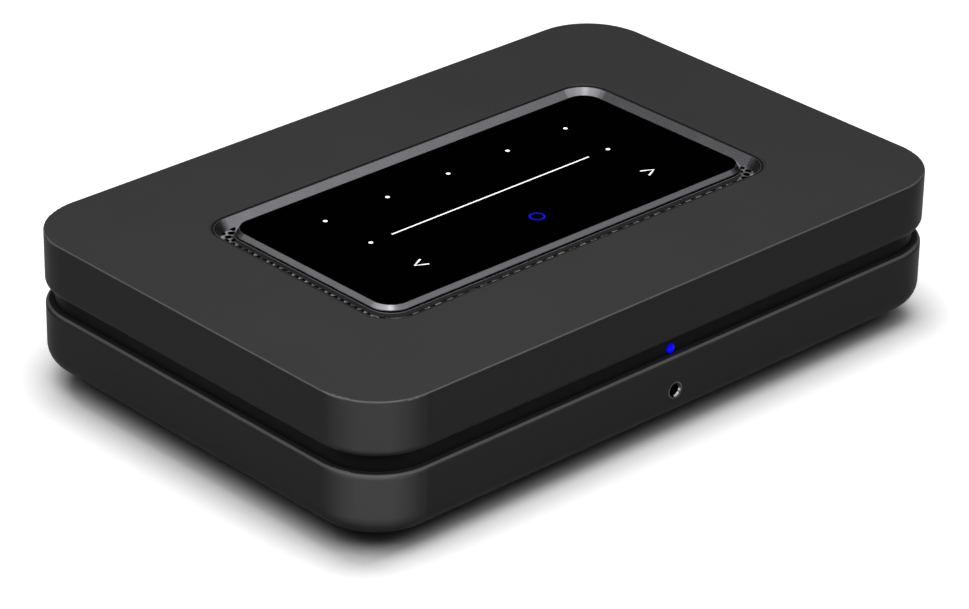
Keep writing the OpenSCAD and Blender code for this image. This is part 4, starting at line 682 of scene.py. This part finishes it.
def fit_mains_pins():
    """Mains pins with rounded tips."""
    low, high, middle = box_mm("inlet_pins")
    tail, tip, r = low.y, high.y, 1.2
    pin = [(0, tail), (1.0, tail), (r, tail + 0.2), (r, tip - 1.2), (1.14, tip - 0.75),
           (0.96, tip - 0.35), (0.66, tip - 0.1), (0.3, tip - 0.01), (0, tip)]
    made = Fitting()
    for x in (low.x + r, high.x - r):
        made.domed((x, middle.z), pin)
    made.fit("mains_pins", FINISHES["nickel"], replaced=("inlet_pins",))


def fit_headphone_ring():
    """A thin bead round the face of the headphone ferrule."""
    face = box_mm("headphone_ferrule")[0].y
    bead = [(2.22, face + 0.1), (2.24, face - 0.08), (2.32, face - 0.15), (2.41, face - 0.15),
            (2.48, face - 0.08), (2.49, face + 0.1)]
    made = Fitting()
    made.turned((PHONE.x, PHONE.z), bead, RING_SIDES)
    made.fit("headphone_ring", blasted("ring_metal", tone(92), tone(118), 0.34))


def fit_status_dome():
    """The softly domed end of the status light's guide."""
    low, _, middle = box_mm("status_light_pipe")
    front, r = low.y, PIPE_R - 0.02
    dome = [(0, front + 0.2), (r, front + 0.2), (r, front - 0.02), (1.2, front - 0.16),
            (1.0, front - 0.27), (0.6, front - 0.36), (0, front - 0.4)]
    made = Fitting()
    made.domed((middle.x, STATUS_Z), dome)
    made.fit("status_dome", OWN_FINISHES["status_light_pipe"])


fit_phono_contacts()
fit_mini_bushes()
fit_lan()
usb_rows = ((1, (-3.5, -1.0, 1.0, 3.5)),)
fit_tongue("usb", half_w=4.31, half_h=0.96, rows=usb_rows, width=1.0)
hdmi_rows = (1, [i - 4.5 for i in range(10)]), (-1, [i - 4.0 for i in range(9)])
fit_tongue("hdmi", half_w=5.06, half_h=0.96, rows=hdmi_rows, width=0.46)
fit_optical_lens()
fit_mains_pins()
fit_headphone_ring()
fit_status_dome()


# Floor: the painted shadow's foot is the case's outline, drawn in or let out on each side
CASE_LOW, CASE_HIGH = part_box("lower_shell")
FOOT_LEFT, FOOT_RIGHT = CASE_LOW.x - 2.3 * MM, CASE_HIGH.x - 5.2 * MM
FOOT_FRONT, FOOT_BACK = CASE_LOW.y + 1.2 * MM, CASE_HIGH.y - 5.0 * MM
FOOT_FRONT_R, FOOT_BACK_R = 9 * MM, 24 * MM
# Painted shadow round the case: where it starts and ends, and the paper's tone within it
PAINTED_SHADOW_START, PAINTED_SHADOW_END = -3.5 * MM, 24 * MM
PAINTED_SHADOW_TONE, PAPER_TONES, BOUNCE_TONE = 220, (247, 251), 50
LIFT = 0.5
FLOOR_HALF = 12.0


def lay_floor():
    """White paper with a painted shadow round the foot of the case: there its tone deepens and its
    own lift to white fades out.

    So the shadow there stays deep. It is white only where it is seen, straight, in gloss or through
    something clear; the light that it throws back on the case is that of a darker floor.
    """
    f = Finish("paper_floor")
    ray = f.node("ShaderNodeLightPath").socket.node
    straight, glossy, through = (
        Wire(f, ray.outputs[key])
        for key in ("Is Camera Ray", "Is Glossy Ray", "Is Transmission Ray"))
    shown = f.span(straight + glossy + through, 0.0, 1.0)
    fibre = f.noise(2.0 * MM, detail=3.0)
    across, along, _ = f.axes(f.place())
    corner = (along > 0.0) * (FOOT_BACK_R - FOOT_FRONT_R) + FOOT_FRONT_R
    out_x = abs(across - (FOOT_LEFT + FOOT_RIGHT) / 2) - (FOOT_RIGHT - FOOT_LEFT) / 2 + corner
    out_y = abs(along - (FOOT_FRONT + FOOT_BACK) / 2) - (FOOT_BACK - FOOT_FRONT) / 2 + corner
    past_x, past_y = out_x.at_least(0.0), out_y.at_least(0.0)
    inside = out_x.at_least(out_y).at_most(0.0)
    away = (past_x * past_x + past_y * past_y) ** 0.5 + inside - corner
    # painted shadow: near the foot the paper's tone deepens and its lift fades out
    clear = f.span(away, PAINTED_SHADOW_START, PAINTED_SHADOW_END)
    open_paper = clear * (2.0 - clear)
    white_paper = f.blend(fibre, *(tone(value) for value in PAPER_TONES))
    paper = f.blend(open_paper, tone(PAINTED_SHADOW_TONE), white_paper)
    glow = f.blend(open_paper, tone(0), WHITE)
    lit = f.node("ShaderNodeBsdfDiffuse", sockets={"Color": paper})
    lift = f.node("ShaderNodeEmission", sockets={"Color": glow, "Strength": LIFT})
    pale = f.node("ShaderNodeAddShader", sockets={0: lit, 1: lift})
    bounce = f.node("ShaderNodeBsdfDiffuse", sockets={"Color": tone(BOUNCE_TONE)})
    both = f.node("ShaderNodeMixShader", sockets={0: shown, 1: bounce, 2: pale})
    f.node("ShaderNodeOutputMaterial", sockets={"Surface": both})
    half = FLOOR_HALF
    corners = [(-half, -half, 0), (half, -half, 0), (half, half, 0), (-half, half, 0)]
    mesh = bpy.data.meshes.new("floor")
    mesh.from_pydata(corners, [], [(0, 1, 2, 3)])
    floor = bpy.data.objects.new("floor", mesh)
    bpy.context.scene.collection.objects.link(floor)
    mesh.materials.append(f.material)


# Light
LAMPS = {
    # azimuth from the front, elevation, distance, size, power, and the surfaces it shows on
    "softbox_key": (-44, 66, 0.46, 0.55, 1.62, "matt"),
    "socket_card": (-27, 32, 0.6, 0.16, 0.16, "gloss"),
    "corner_card": (-43.5, 63, 0.9, 0.25, 0.16, "gloss"),
    "side_card": (46, 40, 0.8, 0.3, 0.055, "gloss"),
}
LAMP_TARGET = Vector((0, 0, 30 * MM))
SKY_TONES = ((0.0, 14), (0.35, 36), (0.5, 82), (0.6, 150), (0.66, 192), (0.8, 226), (1.0, 255))
SKY_POWER = 0.95


def light_studio():
    """A dome, bright overhead and dark low down, a near key, and cards that gloss mirrors."""
    world = bpy.data.worlds.new("studio")
    bpy.context.scene.world = world
    world.use_nodes = True
    f = Finish("studio", world.node_tree)
    up = f.axes(f.node("ShaderNodeTexCoord", out="Generated"))[2]
    stops = [(height, tone(value)) for height, value in SKY_TONES]
    sky = f.node("ShaderNodeValToRGB", {"stops": stops}, {0: up}, "Color")
    back = f.node("ShaderNodeBackground", sockets={"Color": sky, "Strength": SKY_POWER})
    f.node("ShaderNodeOutputWorld", sockets={"Surface": back})
    for name, values in LAMPS.items():
        add_lamp(name, *values)


def way_to(turn, rise):
    """The way to a point at an azimuth from the front and an elevation, both in radians."""
    level = math.cos(rise)
    return Vector((math.sin(turn) * level, -math.cos(turn) * level, math.sin(rise)))


def add_lamp(name, turn, rise, reach, size, power, shows_on):
    """A square lamp aimed at the case."""
    way = way_to(math.radians(turn), math.radians(rise))
    lamp = bpy.data.lights.new(name, "AREA")
    lamp.size = size
    lamp.energy = power
    box = bpy.data.objects.new(name, lamp)
    box.location = LAMP_TARGET + way * reach
    box.rotation_euler = (-way).to_track_quat("-Z", "Y").to_euler()
    box.visible_camera = False
    box.visible_glossy = shows_on == "gloss"
    box.visible_diffuse = shows_on == "matt"
    bpy.context.scene.collection.objects.link(box)


# Camera, solved from the outline and the icons in the photograph
CAMERA_TURN, CAMERA_RISE, CAMERA_ROLL = -43.51, 27.37, 1.04
CAMERA_PLACE = Vector((-0.71724, -0.75325, 0.55017))
CAMERA_LENS, CAMERA_SENSOR = 154.95, 36.0


def set_camera():
    """The photograph's viewpoint."""
    turn, rise, roll = (math.radians(a) for a in (CAMERA_TURN, CAMERA_RISE, CAMERA_ROLL))
    back = way_to(turn, rise)
    right = Vector((math.cos(turn), math.sin(turn), 0))
    up = back.cross(right)
    side = right * math.cos(roll) + up * math.sin(roll)
    head = up * math.cos(roll) - right * math.sin(roll)
    data = bpy.data.cameras.new("camera")
    data.sensor_width = CAMERA_SENSOR
    data.lens = CAMERA_LENS
    camera = bpy.data.objects.new("camera", data)
    camera.matrix_world = Matrix((
        (side.x, head.x, back.x, CAMERA_PLACE.x),
        (side.y, head.y, back.y, CAMERA_PLACE.y),
        (side.z, head.z, back.z, CAMERA_PLACE.z),
        (0, 0, 0, 1),
    ))
    bpy.context.scene.collection.objects.link(camera)
    bpy.context.scene.camera = camera


lay_floor()
light_studio()
set_camera()
bpy.context.scene.view_settings.view_transform = "Standard"
